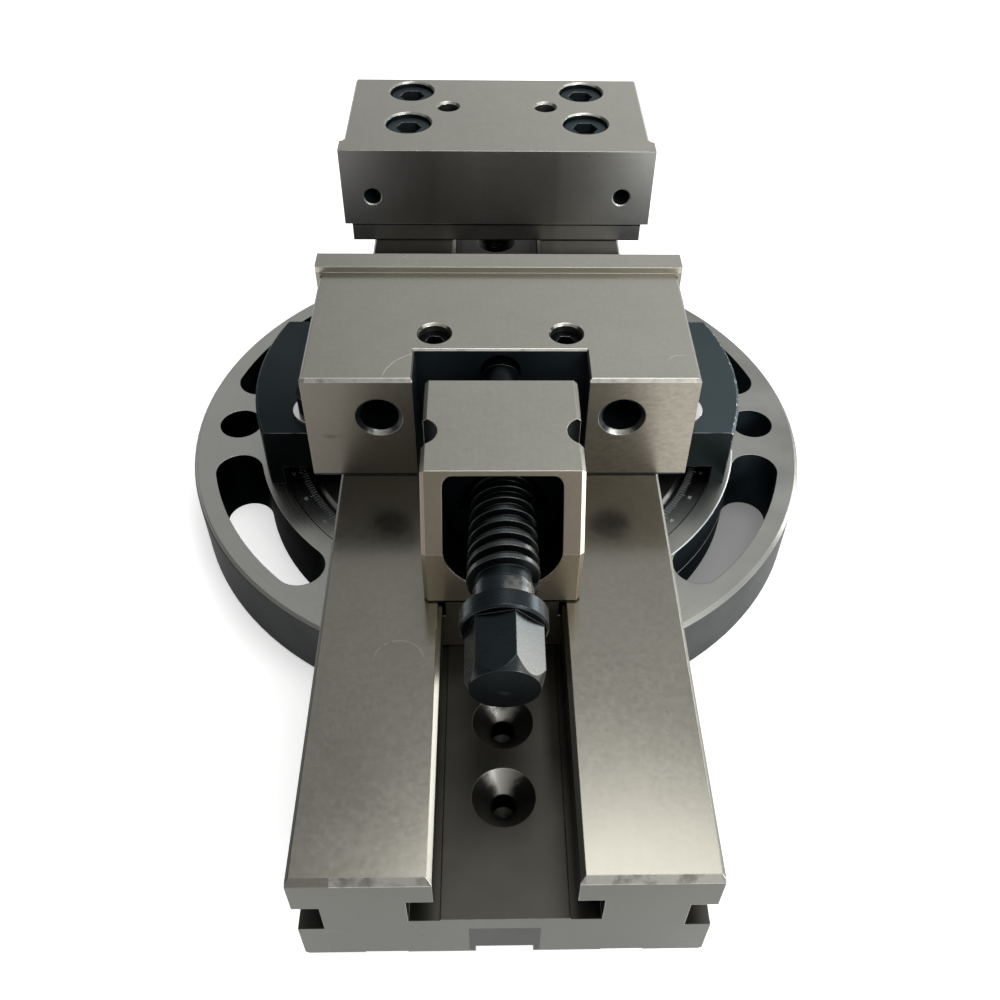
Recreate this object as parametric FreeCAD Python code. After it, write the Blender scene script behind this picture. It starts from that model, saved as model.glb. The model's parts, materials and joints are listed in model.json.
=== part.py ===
import FreeCAD, Part
import math
import os

os.makedirs("parts", exist_ok=True)
V = FreeCAD.Vector

# Modular machine vise on a swivel base, in millimetres.
# X is across the jaws, Y runs along the bed towards the fixed jaw, Z is up.
# The origin lies on the swivel axis, in the underside of the base ring.

# Swivel base: outer ring with clamping slots and a graduated band
FLANGE_W = 40.0
RING_FLOOR = 12.0
RING_EDGE = 1.6
DECK_Z = 33.0
RING_DROP = 0.2
BAND_W = 10.7
BAND_DROP = 0.6
KIDNEY_INNER_WALL = 8.95
KIDNEY_OUTER_WALL = 9.55
KIDNEY_FIRST_DEG = 10.4
KIDNEY_LAST_DEG = 52.0
TABLE_HOLE_R = 10.0
TABLE_HOLE_WALL = 10.0
TENON_W = 18.0
TENON_D = 6.0
TENON_LEN = 42.0

# Turntable that turns in the ring, with its spigot and what holds it down
TABLE_WALL = 8.017
TABLE_T = 19.0
TABLE_EDGE = 2.8
TABLE_GAP = 0.3
SPIGOT_R = 40.0
SPIGOT_GAP = 0.03
THRUST_RING_IN = 62.0
THRUST_RING_OUT = 84.0
KEEPER_R = 50.0
KEEPER_T = 6.0
KEEPER_LEDGE = 7.0
AXIAL_PLAY = 0.05
KEEPER_SCREW_R = 27.0
KEEPER_SCREW_D = 8.0
KEEPER_SCREW_LEN = 18.0

# Bed
BED_W = 125.0
BED_H = 50.0
BED_LEN = 405.4
BED_FRONT_Y = -251.8
BED_EDGE = 1.0
BED_END_EDGE = 2.0
SLOT_W = 42.0
SLOT_EDGE = 1.6
LIP_H = 12.5
UNDERCUT_W = 58.0
SLOT_DEPTH = 25.5
LAND_W = 39.0
LAND_H = 0.7
GROOVE_Z = 19.0
GROOVE_H = 14.7
GROOVE_D = 8.0
KEYWAY_W = 18.0
KEYWAY_D = 4.0
RELIEF_X = 37.0
RELIEF_W = 13.3
RELIEF_D = 0.5
CONE_FIRST = 39.8
CONE_PITCH = 28.1
CONE_MOUTH_R = 10.5
CONE_BORE_R = 4.25
CONE_BORE_DEEP = 15.0

# Keys between turntable and bed
KEY_LEN = 26.0
KEY_TABLE_D = 5.0
KEY_AT_Y = 62.0
KEY_SCREW_D = 6.0

# Clamps that hold the bed down on the turntable
CLAMP_REACH = 6.8
CLAMP_HALF = 41.3
CLAMP_TOP = 30.6
CLAMP_ARCH = 10.1
CLAMP_FOOT_GAP = 0.8
CLAMP_NOSE_BITE = 6.3
CLAMP_SIDE_GAP = 1.5
CLAMP_EDGE = 1.0
CLAMP_BOLT_FROM_BED = 19.2
CLAMP_BOLT_Y = 26.8
CLAMP_BOLT_D = 10.0
CLAMP_BOLT_LEN = 45.0
WASHER_R = 10.0
WASHER_T = 2.0

# Jaws
JAW_H = 50.0
FIXED_H = 53.1
JAW_W = 150.0
JAW_BODY_W = 146.0
PLATE_T = 10.0
PLATE_H = 35.3
FIXED_PLATE_H = 38.2
FIXED_LEN = 78.2
MOVING_FACE_Y = -8.0
MOVING_LEN = 79.2
MOVING_BODY_H = 47.3
JAW_EDGE = 1.0
JAW_REAR_EDGE = 1.2
SHOULDER_R = 1.2
POCKET_W = 64.4
POCKET_D = 18.0
POCKET_EDGE = 0.7
FACE_HOLE_X = 60.4
FACE_HOLE_Z = 29.5
FACE_HOLE_R = 4.0
FACE_HOLE_DEEP = 20.0
FACE_HOLE_EDGE = 0.5
REAR_HOLE_X = 45.4
REAR_HOLE_R = 7.35
REAR_HOLE_MOUTH_R = 8.85
REAR_HOLE_DEEP = 44.0
PLUG_X = 25.1
PLUG_FROM_FACE = 51.1
PLUG_D = 12.0
PLUG_LEN = 12.0
PLUG_SINK = 3.6

# Fixed jaw fixings
FIX_BOLT_X = 43.3
FIX_BOLT_FRONT = 29.0
FIX_BOLT_REAR = 64.6
FIX_BOLT_D = 14.0
FIX_BOLT_LEN = 50.0
COUNTERBORE_R = 10.9
COUNTERBORE_EDGE = 0.8
HEAD_SINK = 2.5
TOP_HOLE_X = 24.3
TOP_HOLE_FROM_FACE = 47.1
TOP_HOLE_R = 5.0
TOP_HOLE_DEEP = 22.0
DOWEL_X = 43.3
DOWEL_R = 6.0
DOWEL_LEN = 20.0

# T-shaped guide under the moving jaw
GUIDE_LEN = 50.0
GUIDE_BACK = 6.0
GUIDE_SIDE_GAP = 0.05
GUIDE_LIP_GAP = 0.10
GUIDE_FLOOR_GAP = 0.40
GUIDE_LET_IN = 3.0
GUIDE_SCREW_PITCH = 28.0
GUIDE_SCREW_D = 10.0
GUIDE_SCREW_LEN = 22.0

# Screw block
BLOCK_W = 54.5
BLOCK_FRONT_Y = -151.25
BLOCK_LEN = 60.6
BLOCK_TOP = 49.9
BLOCK_SLOPE_Z = 24.8
BLOCK_SLOPE_Y = 14.2
BLOCK_EDGE = 1.4
NECK_RELIEF_W = 1.0
NECK_RELIEF_H = 8.0
CAVITY_W = 40.0
CAVITY_DEEP = 20.0
CAVITY_CEILING = 48.4
CAVITY_CORNER_R = 3.5
CAVITY_ROUND_R = 20.0
NOTCH_R = 7.0
NOTCH_D = 5.3
NOTCH_FROM_FRONT = 33.65
BORE_CONE_R = 15.5

# Locating plunger under the block
PLUNGER_R = 8.0
PLUNGER_TIP_R = 4.6
PLUNGER_LEN = 17.0
PLUNGER_STEM_R = 3.0
PLUNGER_GAP = 0.05
STEM_WALL = 6.0
SPRING_ROOM = 13.0
SPRING_R = 4.7
SPRING_WIRE_R = 0.6
SPRING_TURNS = 4
CAP_R = 6.0
CAP_T = 3.6
CAP_SIDE_GAP = 0.5

# Spindle: trapezoidal thread of 24 mm, pitch 5, on a line that rises to the jaw
TILT_DEG = 4.0
AXIS_Z = 28.5
THREAD_R = 12.0
ROOT_R = 9.25
PITCH = 5.0
FLANK_DEG = 15.0
BORE_GAP = 0.08
THREAD_FRONT = -17.5
THREAD_BACK = 61.5
NECK_R = 9.9
COLLAR_R = 14.0
COLLAR_BACK = -25.7
COLLAR_FRONT = -32.7
HEX_FLATS = 22.0
HEX_TURN_DEG = 15.5
HEX_END = -53.0
HEX_TAPER = 4.7
END_R = 10.8
END_DOME = 0.9
SHANK_R = 8.2
BALL_R = 5.4
BALL_NECK_R = 3.4
BALL_GAP = 0.05

# Thrust cup between the spindle's ball and the jaw
CUP_R = 7.5
CUP_LEN = 15.0
CUP_PROUD = 1.2
CUP_GAP = 0.10
CUP_PIN_R = 2.0
CUP_PIN_FROM_FACE = 7.0
CUP_PIN_BITE = 0.9
FEED_BACK = 21.0
FEED_FORWARD = 27.0

# Sizes of the base and its clamps that follow from the bed they carry
CLAMP_BOLT_X = BED_W / 2 + CLAMP_BOLT_FROM_BED
CLAMP_NOSE_X = BED_W / 2 - CLAMP_NOSE_BITE
TABLE_R = math.hypot(CLAMP_BOLT_X, CLAMP_BOLT_Y) + TABLE_WALL
BAND_R = TABLE_R + TABLE_GAP + BAND_W
RING_R = BAND_R + FLANGE_W
KIDNEY_W = FLANGE_W - KIDNEY_INNER_WALL - KIDNEY_OUTER_WALL
KIDNEY_R = BAND_R + KIDNEY_INNER_WALL + KIDNEY_W / 2
TABLE_HOLE_PCD = 2 * (RING_R - TABLE_HOLE_WALL - TABLE_HOLE_R)
CLAMP_R = BAND_R + CLAMP_REACH
CLAMP_FOOT_IN = BAND_R + CLAMP_FOOT_GAP

# Heights and places that follow from the sizes above
BED_TOP = DECK_Z + BED_H
RING_TOP = DECK_Z - RING_DROP
SLOT_FLOOR = BED_TOP - SLOT_DEPTH
LIP_UNDER = BED_TOP - LIP_H
JAW_TOP = BED_TOP + JAW_H
FIXED_TOP = BED_TOP + FIXED_H
BED_BACK_Y = BED_FRONT_Y + BED_LEN
FIXED_FACE_Y = BED_BACK_Y - FIXED_LEN
MOVING_BACK_Y = MOVING_FACE_Y - MOVING_LEN
POCKET_Y = MOVING_BACK_Y + POCKET_D
BLOCK_BACK_Y = BLOCK_FRONT_Y + BLOCK_LEN
TILT = math.radians(TILT_DEG)
FACE_RUN = (POCKET_Y - BLOCK_FRONT_Y) / math.cos(TILT)
CONE_COUNT = int((BED_LEN - 1.2 * CONE_FIRST) / CONE_PITCH) + 1
BLOCK_HOLE = round((BLOCK_FRONT_Y + 0.4 * BLOCK_LEN - BED_FRONT_Y - CONE_FIRST) / CONE_PITCH)
PLUNGER_Y = BED_FRONT_Y + CONE_FIRST + BLOCK_HOLE * CONE_PITCH
HEX_CORNER_R = HEX_FLATS / math.sqrt(3.0)


def box(x0, x1, y0, y1, z0, z1):
    return Part.makeBox(x1 - x0, y1 - y0, z1 - z0, V(x0, y0, z0))


def rod(radius, length, at, along=V(0, 0, 1)):
    return Part.makeCylinder(radius, length, at, along)


def cone(radius_a, radius_b, length, at, along=V(0, 0, 1)):
    return Part.makeCone(radius_a, radius_b, length, at, along)


def along_y(section, y0, y1):
    """Solid with a closed section of (x, z) points, drawn from y0 to y1."""
    points = [V(x, y0, z) for x, z in section]
    face = Part.Face(Part.makePolygon(points + points[:1]))
    return face.extrude(V(0, y1 - y0, 0))


def along_x(section, x0, x1):
    """Solid with a closed section of (y, z) points, drawn from x0 to x1."""
    points = [V(x0, y, z) for y, z in section]
    face = Part.Face(Part.makePolygon(points + points[:1]))
    return face.extrude(V(x1 - x0, 0, 0))


def turned(section):
    """Solid turned about Z from a closed section of (radius, z) points."""
    points = [V(r, 0, z) for r, z in section]
    face = Part.Face(Part.makePolygon(points + points[:1]))
    return face.revolve(V(0, 0, 0), V(0, 0, 1), 360)


def hexagon(flats, length, at, turn_deg=0.0):
    radius = flats / math.sqrt(3.0)
    corners = []
    for side in range(6):
        angle = math.radians(turn_deg + 60.0 * side)
        corners.append(at + V(radius * math.cos(angle), radius * math.sin(angle), 0))
    face = Part.Face(Part.makePolygon(corners + corners[:1]))
    return face.extrude(V(0, 0, length))


def mirror_section(half):
    """Full (x, z) section from its right half, listed from the foot up."""
    return half + [(-x, z) for x, z in reversed(half)]


def both_sides(shape):
    return [shape, shape.mirror(V(0, 0, 0), V(1, 0, 0))]


def joined(shapes):
    return shapes[0].multiFuse(shapes[1:]).removeSplitter()


def bore_down(radius, x, y, top, depth, mouth=0.0):
    """Blind drilled hole from a top face, with an optional chamfered mouth."""
    drill = rod(radius, depth, V(x, y, top - depth))
    tip = cone(0, radius, radius * 0.55, V(x, y, top - depth - radius * 0.55))
    hole = drill.fuse(tip)
    if mouth > radius:
        hole = hole.fuse(cone(radius, mouth + 0.2, mouth + 0.2 - radius,
                              V(x, y, top - mouth + radius)))
    return hole


def socket_screw(size, length, sink_top):
    """Cap screw with hexagon socket, standing head up, head top at the given height."""
    head_r = 0.75 * size
    head = rod(head_r, size, V(0, 0, sink_top - size))
    rim = turned([(head_r - 0.06 * size, sink_top + 1), (head_r + 1, sink_top + 1),
                  (head_r + 1, sink_top - 0.06 * size - 1)])
    key = hexagon(0.8 * size, 0.5 * size, V(0, 0, sink_top - 0.5 * size))
    shank = rod(0.5 * size, length, V(0, 0, sink_top - size - length))
    return head.cut(rim).cut(key).fuse(shank).removeSplitter()


def moved(shape, x, y, z=0.0):
    copy = shape.copy()
    copy.translate(V(x, y, z))
    return copy


def save(name, solids):
    shape = solids[0] if len(solids) == 1 else Part.makeCompound(solids)
    shape.exportStep("parts/" + name + ".step")


def kidney():
    """Cutter for one curved clamping slot, to the right and ahead of the X axis."""
    half_w = KIDNEY_W / 2
    end_turn = math.degrees(half_w / KIDNEY_R)
    first = KIDNEY_FIRST_DEG + end_turn
    last = KIDNEY_LAST_DEG - end_turn
    band = Part.makeCylinder(KIDNEY_R + half_w, DECK_Z, V(0, 0, 0), V(0, 0, 1), last - first)
    band = band.cut(rod(KIDNEY_R - half_w, DECK_Z, V(0, 0, 0)))
    band.rotate(V(0, 0, 0), V(0, 0, 1), first)
    ends = []
    for angle in (first, last):
        turn = math.radians(angle)
        ends.append(rod(half_w, DECK_Z, V(KIDNEY_R * math.cos(turn), KIDNEY_R * math.sin(turn), 0)))
    return joined([band] + ends)


def base_ring():
    seat_r = TABLE_R + TABLE_GAP
    band_z = RING_TOP - BAND_DROP
    ring = turned([(SPIGOT_R + SPIGOT_GAP, RING_FLOOR), (SPIGOT_R + SPIGOT_GAP, KEEPER_LEDGE),
                   (KEEPER_R + 1.5, KEEPER_LEDGE), (KEEPER_R + 1.5, 0), (RING_R - RING_EDGE, 0),
                   (RING_R, RING_EDGE), (RING_R, RING_TOP - RING_EDGE),
                   (RING_R - RING_EDGE, RING_TOP), (BAND_R, RING_TOP), (BAND_R, band_z),
                   (seat_r, band_z), (seat_r, RING_FLOOR)])
    slot = kidney()
    cuts = both_sides(slot)
    cuts += [piece.mirror(V(0, 0, 0), V(0, 1, 0)) for piece in cuts]
    for quarter in range(4):
        turn = math.radians(90.0 * quarter)
        x = TABLE_HOLE_PCD / 2 * math.cos(turn)
        y = TABLE_HOLE_PCD / 2 * math.sin(turn)
        cuts.append(rod(TABLE_HOLE_R, DECK_Z, V(x, y, 0)))
        tenon = box(RING_R - TENON_LEN, RING_R, -TENON_W / 2, TENON_W / 2, 0, TENON_D)
        tenon.rotate(V(0, 0, 0), V(0, 0, 1), 90.0 * quarter)
        cuts.append(tenon)
    return ring.cut(cuts)


def turntable():
    floor_z = DECK_Z - TABLE_T
    foot_z = KEEPER_LEDGE - AXIAL_PLAY
    table = turned([(0, foot_z), (SPIGOT_R, foot_z), (SPIGOT_R, floor_z), (TABLE_R, floor_z),
                    (TABLE_R, DECK_Z - TABLE_EDGE), (TABLE_R - TABLE_EDGE, DECK_Z), (0, DECK_Z)])
    key_top = box(-KEYWAY_W / 2, KEYWAY_W / 2, -TABLE_R, TABLE_R, DECK_Z - KEY_TABLE_D, DECK_Z)
    cuts = [key_top]
    for side_x in (-1, 1):
        for side_y in (-1, 1):
            depth = CLAMP_BOLT_LEN - CLAMP_TOP - WASHER_T + 2.0
            cuts.append(bore_down(CLAMP_BOLT_D / 2, side_x * CLAMP_BOLT_X, side_y * CLAMP_BOLT_Y,
                                  DECK_Z, depth, CLAMP_BOLT_D / 2 + 0.8))
    for side_y in (-1, 1):
        cuts.append(rod(KEY_SCREW_D / 2, KEY_LEN / 2, V(0, side_y * KEY_AT_Y, DECK_Z - KEY_LEN / 2)))
    for place in keeper_screw_places():
        cuts.append(rod(KEEPER_SCREW_D / 2, KEEPER_SCREW_LEN, place + V(0, 0, keeper_bottom())))
    return table.cut(cuts)


def keeper_bottom():
    return KEEPER_LEDGE - AXIAL_PLAY - KEEPER_T


def keeper_screw_places():
    return [V(KEEPER_SCREW_R * math.cos(math.radians(45 + 90 * k)),
              KEEPER_SCREW_R * math.sin(math.radians(45 + 90 * k)), 0) for k in range(4)]


def keeper_plate():
    plate = rod(KEEPER_R, KEEPER_T, V(0, 0, keeper_bottom()))
    plate = plate.cut(rod(KEEPER_SCREW_R / 2, KEEPER_T, V(0, 0, keeper_bottom())))
    return plate.cut([countersunk_screw(place, 0.0) for place in keeper_screw_places()])


def countersunk_screw(place, socket_depth):
    """Countersunk screw, head down, flush with the keeper plate's underside."""
    half = KEEPER_SCREW_D / 2
    z = keeper_bottom()
    screw = cone(2 * half, half, half, place + V(0, 0, z))
    screw = screw.fuse(rod(half, KEEPER_SCREW_LEN - half, place + V(0, 0, z + half)))
    if socket_depth > 0:
        screw = screw.cut(hexagon(0.62 * KEEPER_SCREW_D, socket_depth, place + V(0, 0, z)))
    return screw


def thrust_ring():
    floor_z = DECK_Z - TABLE_T
    ring = rod(THRUST_RING_OUT, floor_z - RING_FLOOR, V(0, 0, RING_FLOOR))
    return ring.cut(rod(THRUST_RING_IN, floor_z - RING_FLOOR, V(0, 0, RING_FLOOR)))


def bed_key(side_y):
    half = KEYWAY_W / 2
    bottom = DECK_Z - KEY_TABLE_D
    top = DECK_Z + KEYWAY_D - 0.3
    y = side_y * KEY_AT_Y
    key = box(-half, half, y - KEY_LEN / 2, y + KEY_LEN / 2, bottom, top)
    return key.cut([rod(KEY_SCREW_D / 2, top - bottom, V(0, y, bottom)),
                    rod(0.85 * KEY_SCREW_D, 4.5, V(0, y, top - 4.5))])


def bed_key_screw(side_y):
    top = DECK_Z + KEYWAY_D - 0.3
    head_t = 0.6 * KEY_SCREW_D
    y = side_y * KEY_AT_Y
    head = rod(0.78 * KEY_SCREW_D, head_t, V(0, y, top - 4.5))
    head = head.cut(hexagon(0.6 * KEY_SCREW_D, 2.2, V(0, y, top - 4.5 + head_t - 2.2)))
    return head.fuse(rod(KEY_SCREW_D / 2, KEY_LEN / 2 - 2, V(0, y, top - 4.5 - KEY_LEN / 2 + 2)))


def bed_section():
    half = BED_W / 2
    wall = half - GROOVE_D
    side = DECK_Z + GROOVE_Z
    top = BED_TOP
    right = [(KEYWAY_W / 2, DECK_Z + KEYWAY_D), (KEYWAY_W / 2, DECK_Z),
             (RELIEF_X - RELIEF_W / 2, DECK_Z), (RELIEF_X - RELIEF_W / 2, DECK_Z + RELIEF_D),
             (RELIEF_X + RELIEF_W / 2, DECK_Z + RELIEF_D), (RELIEF_X + RELIEF_W / 2, DECK_Z),
             (half - BED_EDGE, DECK_Z), (half, DECK_Z + BED_EDGE), (half, side), (wall, side),
             (wall, side + GROOVE_H), (half, side + GROOVE_H), (half, top - BED_EDGE),
             (half - BED_EDGE, top), (SLOT_W / 2 + SLOT_EDGE, top), (SLOT_W / 2, top - SLOT_EDGE),
             (SLOT_W / 2, LIP_UNDER), (UNDERCUT_W / 2, LIP_UNDER),
             (UNDERCUT_W / 2, SLOT_FLOOR - LAND_H), (LAND_W / 2, SLOT_FLOOR - LAND_H),
             (LAND_W / 2, SLOT_FLOOR)]
    return mirror_section(right)


def bed():
    shape = along_y(bed_section(), BED_FRONT_Y, BED_BACK_Y)
    edge = BED_END_EDGE
    end_cut = along_x([(BED_FRONT_Y - 1, BED_TOP - edge - 1), (BED_FRONT_Y - 1, BED_TOP + 1),
                       (BED_FRONT_Y + edge + 1, BED_TOP + 1)], -BED_W, BED_W)
    cuts = [end_cut]
    depth = CONE_MOUTH_R - CONE_BORE_R
    for k in range(CONE_COUNT):
        y = BED_FRONT_Y + CONE_FIRST + k * CONE_PITCH
        cuts.append(bore_down(CONE_BORE_R, 0, y, SLOT_FLOOR, CONE_BORE_DEEP))
        cuts.append(cone(CONE_BORE_R, CONE_MOUTH_R, depth, V(0, y, SLOT_FLOOR - depth)))
    for x, y in fix_bolt_places():
        cuts.append(bore_down(FIX_BOLT_D / 2, x, y, BED_TOP, fix_bolt_bite() + 3.0))
    for x, y in dowel_places():
        cuts.append(rod(DOWEL_R, DOWEL_LEN / 2 + 1, V(x, y, BED_TOP - DOWEL_LEN / 2 - 1)))
    return shape.cut(cuts)


def fix_bolt_places():
    return [(x, FIXED_FACE_Y + from_face) for x in (-FIX_BOLT_X, FIX_BOLT_X)
            for from_face in (FIX_BOLT_FRONT, FIX_BOLT_REAR)]


def fix_bolt_bite():
    """How far the fixed jaw's bolts reach into the bed."""
    return FIX_BOLT_LEN - (FIXED_H - HEAD_SINK - FIX_BOLT_D)


def dowel_places():
    y = FIXED_FACE_Y + (FIX_BOLT_FRONT + FIX_BOLT_REAR) / 2
    return [(-DOWEL_X, y), (DOWEL_X, y)]


def plate_lip(face_y, into_jaw, top, height):
    """Wide front part of a jaw, from its clamping face back to the shoulder."""
    back = face_y + into_jaw * PLATE_T
    shoulder = back + into_jaw * SHOULDER_R
    z0 = top - height
    half = JAW_W / 2
    body = JAW_BODY_W / 2
    outline = [(-half, face_y), (half, face_y), (half, back - into_jaw * 0.5), (body + 0.5, back),
               (body, shoulder), (-body, shoulder), (-body - 0.5, back),
               (-half, back - into_jaw * 0.5)]
    points = [V(x, y, z0) for x, y in outline]
    return Part.Face(Part.makePolygon(points + points[:1])).extrude(V(0, 0, height))


def face_holes(face_y, into_jaw):
    along = V(0, into_jaw, 0)
    mouth = FACE_HOLE_EDGE
    holes = []
    for x in (-FACE_HOLE_X, FACE_HOLE_X):
        at = V(x, face_y, BED_TOP + FACE_HOLE_Z)
        holes.append(rod(FACE_HOLE_R, FACE_HOLE_DEEP, at, along))
        holes.append(cone(FACE_HOLE_R + mouth, FACE_HOLE_R, mouth, at, along))
    return holes


def top_edge_cut(y0, y1, half, top):
    """Cutter that breaks the two long top edges of a jaw body."""
    edge = JAW_EDGE
    wedge = along_y([(half - edge - 1, top + 1), (half + 1, top + 1), (half + 1, top - edge - 1)],
                    y0, y1)
    return both_sides(wedge)


def fixed_jaw():
    half = JAW_BODY_W / 2
    recess_y = FIXED_FACE_Y + PLATE_T
    body = box(-half, half, recess_y, BED_BACK_Y, BED_TOP, FIXED_TOP)
    shape = joined([body, plate_lip(FIXED_FACE_Y, 1, FIXED_TOP, FIXED_PLATE_H)])
    cuts = face_holes(FIXED_FACE_Y, 1)
    cuts += top_edge_cut(recess_y + SHOULDER_R, BED_BACK_Y, half, FIXED_TOP)
    mouth = COUNTERBORE_EDGE
    for x, y in fix_bolt_places():
        seat = FIXED_TOP - HEAD_SINK - FIX_BOLT_D
        cuts.append(rod(COUNTERBORE_R, HEAD_SINK + FIX_BOLT_D, V(x, y, seat)))
        cuts.append(cone(COUNTERBORE_R, COUNTERBORE_R + mouth, mouth, V(x, y, FIXED_TOP - mouth)))
        cuts.append(rod(FIX_BOLT_D / 2 + 0.4, FIXED_H, V(x, y, BED_TOP)))
    for x in (-TOP_HOLE_X, TOP_HOLE_X):
        cuts.append(bore_down(TOP_HOLE_R, x, FIXED_FACE_Y + TOP_HOLE_FROM_FACE, FIXED_TOP,
                              TOP_HOLE_DEEP, TOP_HOLE_R + 1.0))
    for x, y in dowel_places():
        cuts.append(rod(DOWEL_R, DOWEL_LEN / 2 + 1, V(x, y, BED_TOP)))
    return shape.cut(cuts)


def fixed_jaw_bolt(x, y):
    return moved(socket_screw(FIX_BOLT_D, FIX_BOLT_LEN, FIXED_TOP - HEAD_SINK), x, y)


def fixed_jaw_dowel(x, y):
    return rod(DOWEL_R, DOWEL_LEN, V(x, y, BED_TOP - DOWEL_LEN / 2))


def cup_travel_z():
    """Lowest and highest rise of the cup in the jaw over the feed."""
    return -FEED_BACK * math.tan(TILT), FEED_FORWARD * math.tan(TILT)


def cup_pocket():
    """Upright pocket in the jaw for the thrust cup, which shifts up and down with the feed."""
    low, high = cup_travel_z()
    depth = CUP_LEN - CUP_PROUD + CUP_GAP
    face_z = BED_TOP + AXIS_Z + FACE_RUN * math.sin(TILT)
    z_low = face_z + low
    z_high = face_z + depth * math.tan(TILT) + high
    r = CUP_R + CUP_GAP
    lower = rod(r, depth, V(0, POCKET_Y, z_low), V(0, 1, 0))
    upper = rod(r, depth, V(0, POCKET_Y, z_high), V(0, 1, 0))
    return joined([lower, upper, box(-r, r, POCKET_Y, POCKET_Y + depth, z_low, z_high)])


def cup_pin_places():
    x = CUP_R - CUP_PIN_BITE + CUP_PIN_R
    return [(-x, POCKET_Y + CUP_PIN_FROM_FACE), (x, POCKET_Y + CUP_PIN_FROM_FACE)]


def cup_pin_top():
    return BED_TOP + AXIS_Z + FACE_RUN * math.sin(TILT) + CUP_R + 1.0


def moving_jaw():
    half = JAW_BODY_W / 2
    top = BED_TOP + MOVING_BODY_H
    body = box(-half, half, MOVING_BACK_Y, MOVING_FACE_Y - PLATE_T, BED_TOP, top)
    shape = joined([body, plate_lip(MOVING_FACE_Y, -1, JAW_TOP, PLATE_H)])
    cuts = [box(-POCKET_W / 2, POCKET_W / 2, MOVING_BACK_Y, POCKET_Y, BED_TOP, top), cup_pocket()]
    cuts += face_holes(MOVING_FACE_Y, -1)
    cuts += top_edge_cut(MOVING_BACK_Y, MOVING_FACE_Y - PLATE_T - SHOULDER_R, half, top)
    cuts.append(box(-JAW_W, JAW_W, MOVING_BACK_Y, MOVING_FACE_Y - PLATE_T, top, JAW_TOP))
    cuts += [rear_edge_cut(top), pocket_funnel(top)]
    for x in (-REAR_HOLE_X, REAR_HOLE_X):
        at = V(x, MOVING_BACK_Y, BED_TOP + FACE_HOLE_Z)
        cuts.append(rod(REAR_HOLE_R, REAR_HOLE_DEEP, at, V(0, 1, 0)))
        cuts.append(cone(REAR_HOLE_MOUTH_R, REAR_HOLE_R, REAR_HOLE_MOUTH_R - REAR_HOLE_R, at, V(0, 1, 0)))
    for x in (-PLUG_X, PLUG_X):
        cuts.append(bore_down(PLUG_D / 2, x, MOVING_FACE_Y - PLUG_FROM_FACE, top,
                              PLUG_SINK + PLUG_LEN, PLUG_D / 2 + 0.8))
    for x, y in cup_pin_places():
        cuts.append(rod(CUP_PIN_R, cup_pin_top() - BED_TOP, V(x, y, BED_TOP)))
    y0, y1 = guide_span()
    side = SLOT_W / 2 - GUIDE_SIDE_GAP
    cuts.append(box(-side, side, y0, y1, BED_TOP, BED_TOP + GUIDE_LET_IN))
    for y in guide_screw_places():
        cuts.append(rod(GUIDE_SCREW_D / 2, GUIDE_SCREW_LEN, V(0, y, BED_TOP)))
    return shape.cut(cuts)


def rear_edge_cut(top):
    """Cutter that breaks the moving jaw's top edge on the side of the screw block."""
    edge = JAW_REAR_EDGE
    return along_x([(MOVING_BACK_Y - 1, top - edge - 1), (MOVING_BACK_Y - 1, top + 1),
                    (MOVING_BACK_Y + edge + 1, top + 1)], -JAW_W, JAW_W)


def pocket_funnel(top):
    """Cutter that breaks the three top edges of the moving jaw's pocket."""
    x = POCKET_W / 2
    edge = POCKET_EDGE
    across = along_y([(-x - edge - 1, top + 1), (x + edge + 1, top + 1), (x, top - edge),
                      (-x, top - edge)], MOVING_BACK_Y, POCKET_Y + edge + 1)
    ahead = along_x([(MOVING_BACK_Y, top - edge), (POCKET_Y, top - edge), (POCKET_Y + edge + 1, top + 1),
                     (MOVING_BACK_Y, top + 1)], -x - edge - 1, x + edge + 1)
    return across.common(ahead)


def guide_span():
    y1 = MOVING_FACE_Y - GUIDE_BACK
    return y1 - GUIDE_LEN, y1


def guide_screw_places():
    y0, y1 = guide_span()
    middle = (y0 + y1) / 2
    return [middle - GUIDE_SCREW_PITCH / 2, middle + GUIDE_SCREW_PITCH / 2]


def tee(y0, y1, top):
    """Tee that runs in the bed's slot, from the slot floor up to a given height."""
    neck = SLOT_W / 2 - GUIDE_SIDE_GAP
    wing = UNDERCUT_W / 2 - 4 * GUIDE_SIDE_GAP
    low = SLOT_FLOOR + GUIDE_FLOOR_GAP
    high = LIP_UNDER - GUIDE_LIP_GAP
    return along_y(mirror_section([(wing - 1.0, low), (wing, low + 1.0), (wing, high),
                                   (neck, high), (neck, top)]), y0, y1)


def jaw_guide():
    y0, y1 = guide_span()
    shape = tee(y0, y1, BED_TOP + GUIDE_LET_IN)
    low = SLOT_FLOOR + GUIDE_FLOOR_GAP
    cuts = []
    for y in guide_screw_places():
        cuts.append(rod(GUIDE_SCREW_D / 2 + 0.3, BED_TOP, V(0, y, low)))
        cuts.append(rod(0.8 * GUIDE_SCREW_D, GUIDE_SCREW_D + 1, V(0, y, low)))
    return shape.cut(cuts)


def guide_screw(y):
    low = SLOT_FLOOR + GUIDE_FLOOR_GAP
    screw = socket_screw(GUIDE_SCREW_D, GUIDE_SCREW_LEN + 4, 0.0)
    screw.rotate(V(0, 0, 0), V(1, 0, 0), 180)
    return moved(screw, 0, y, low + 1.0)


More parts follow.
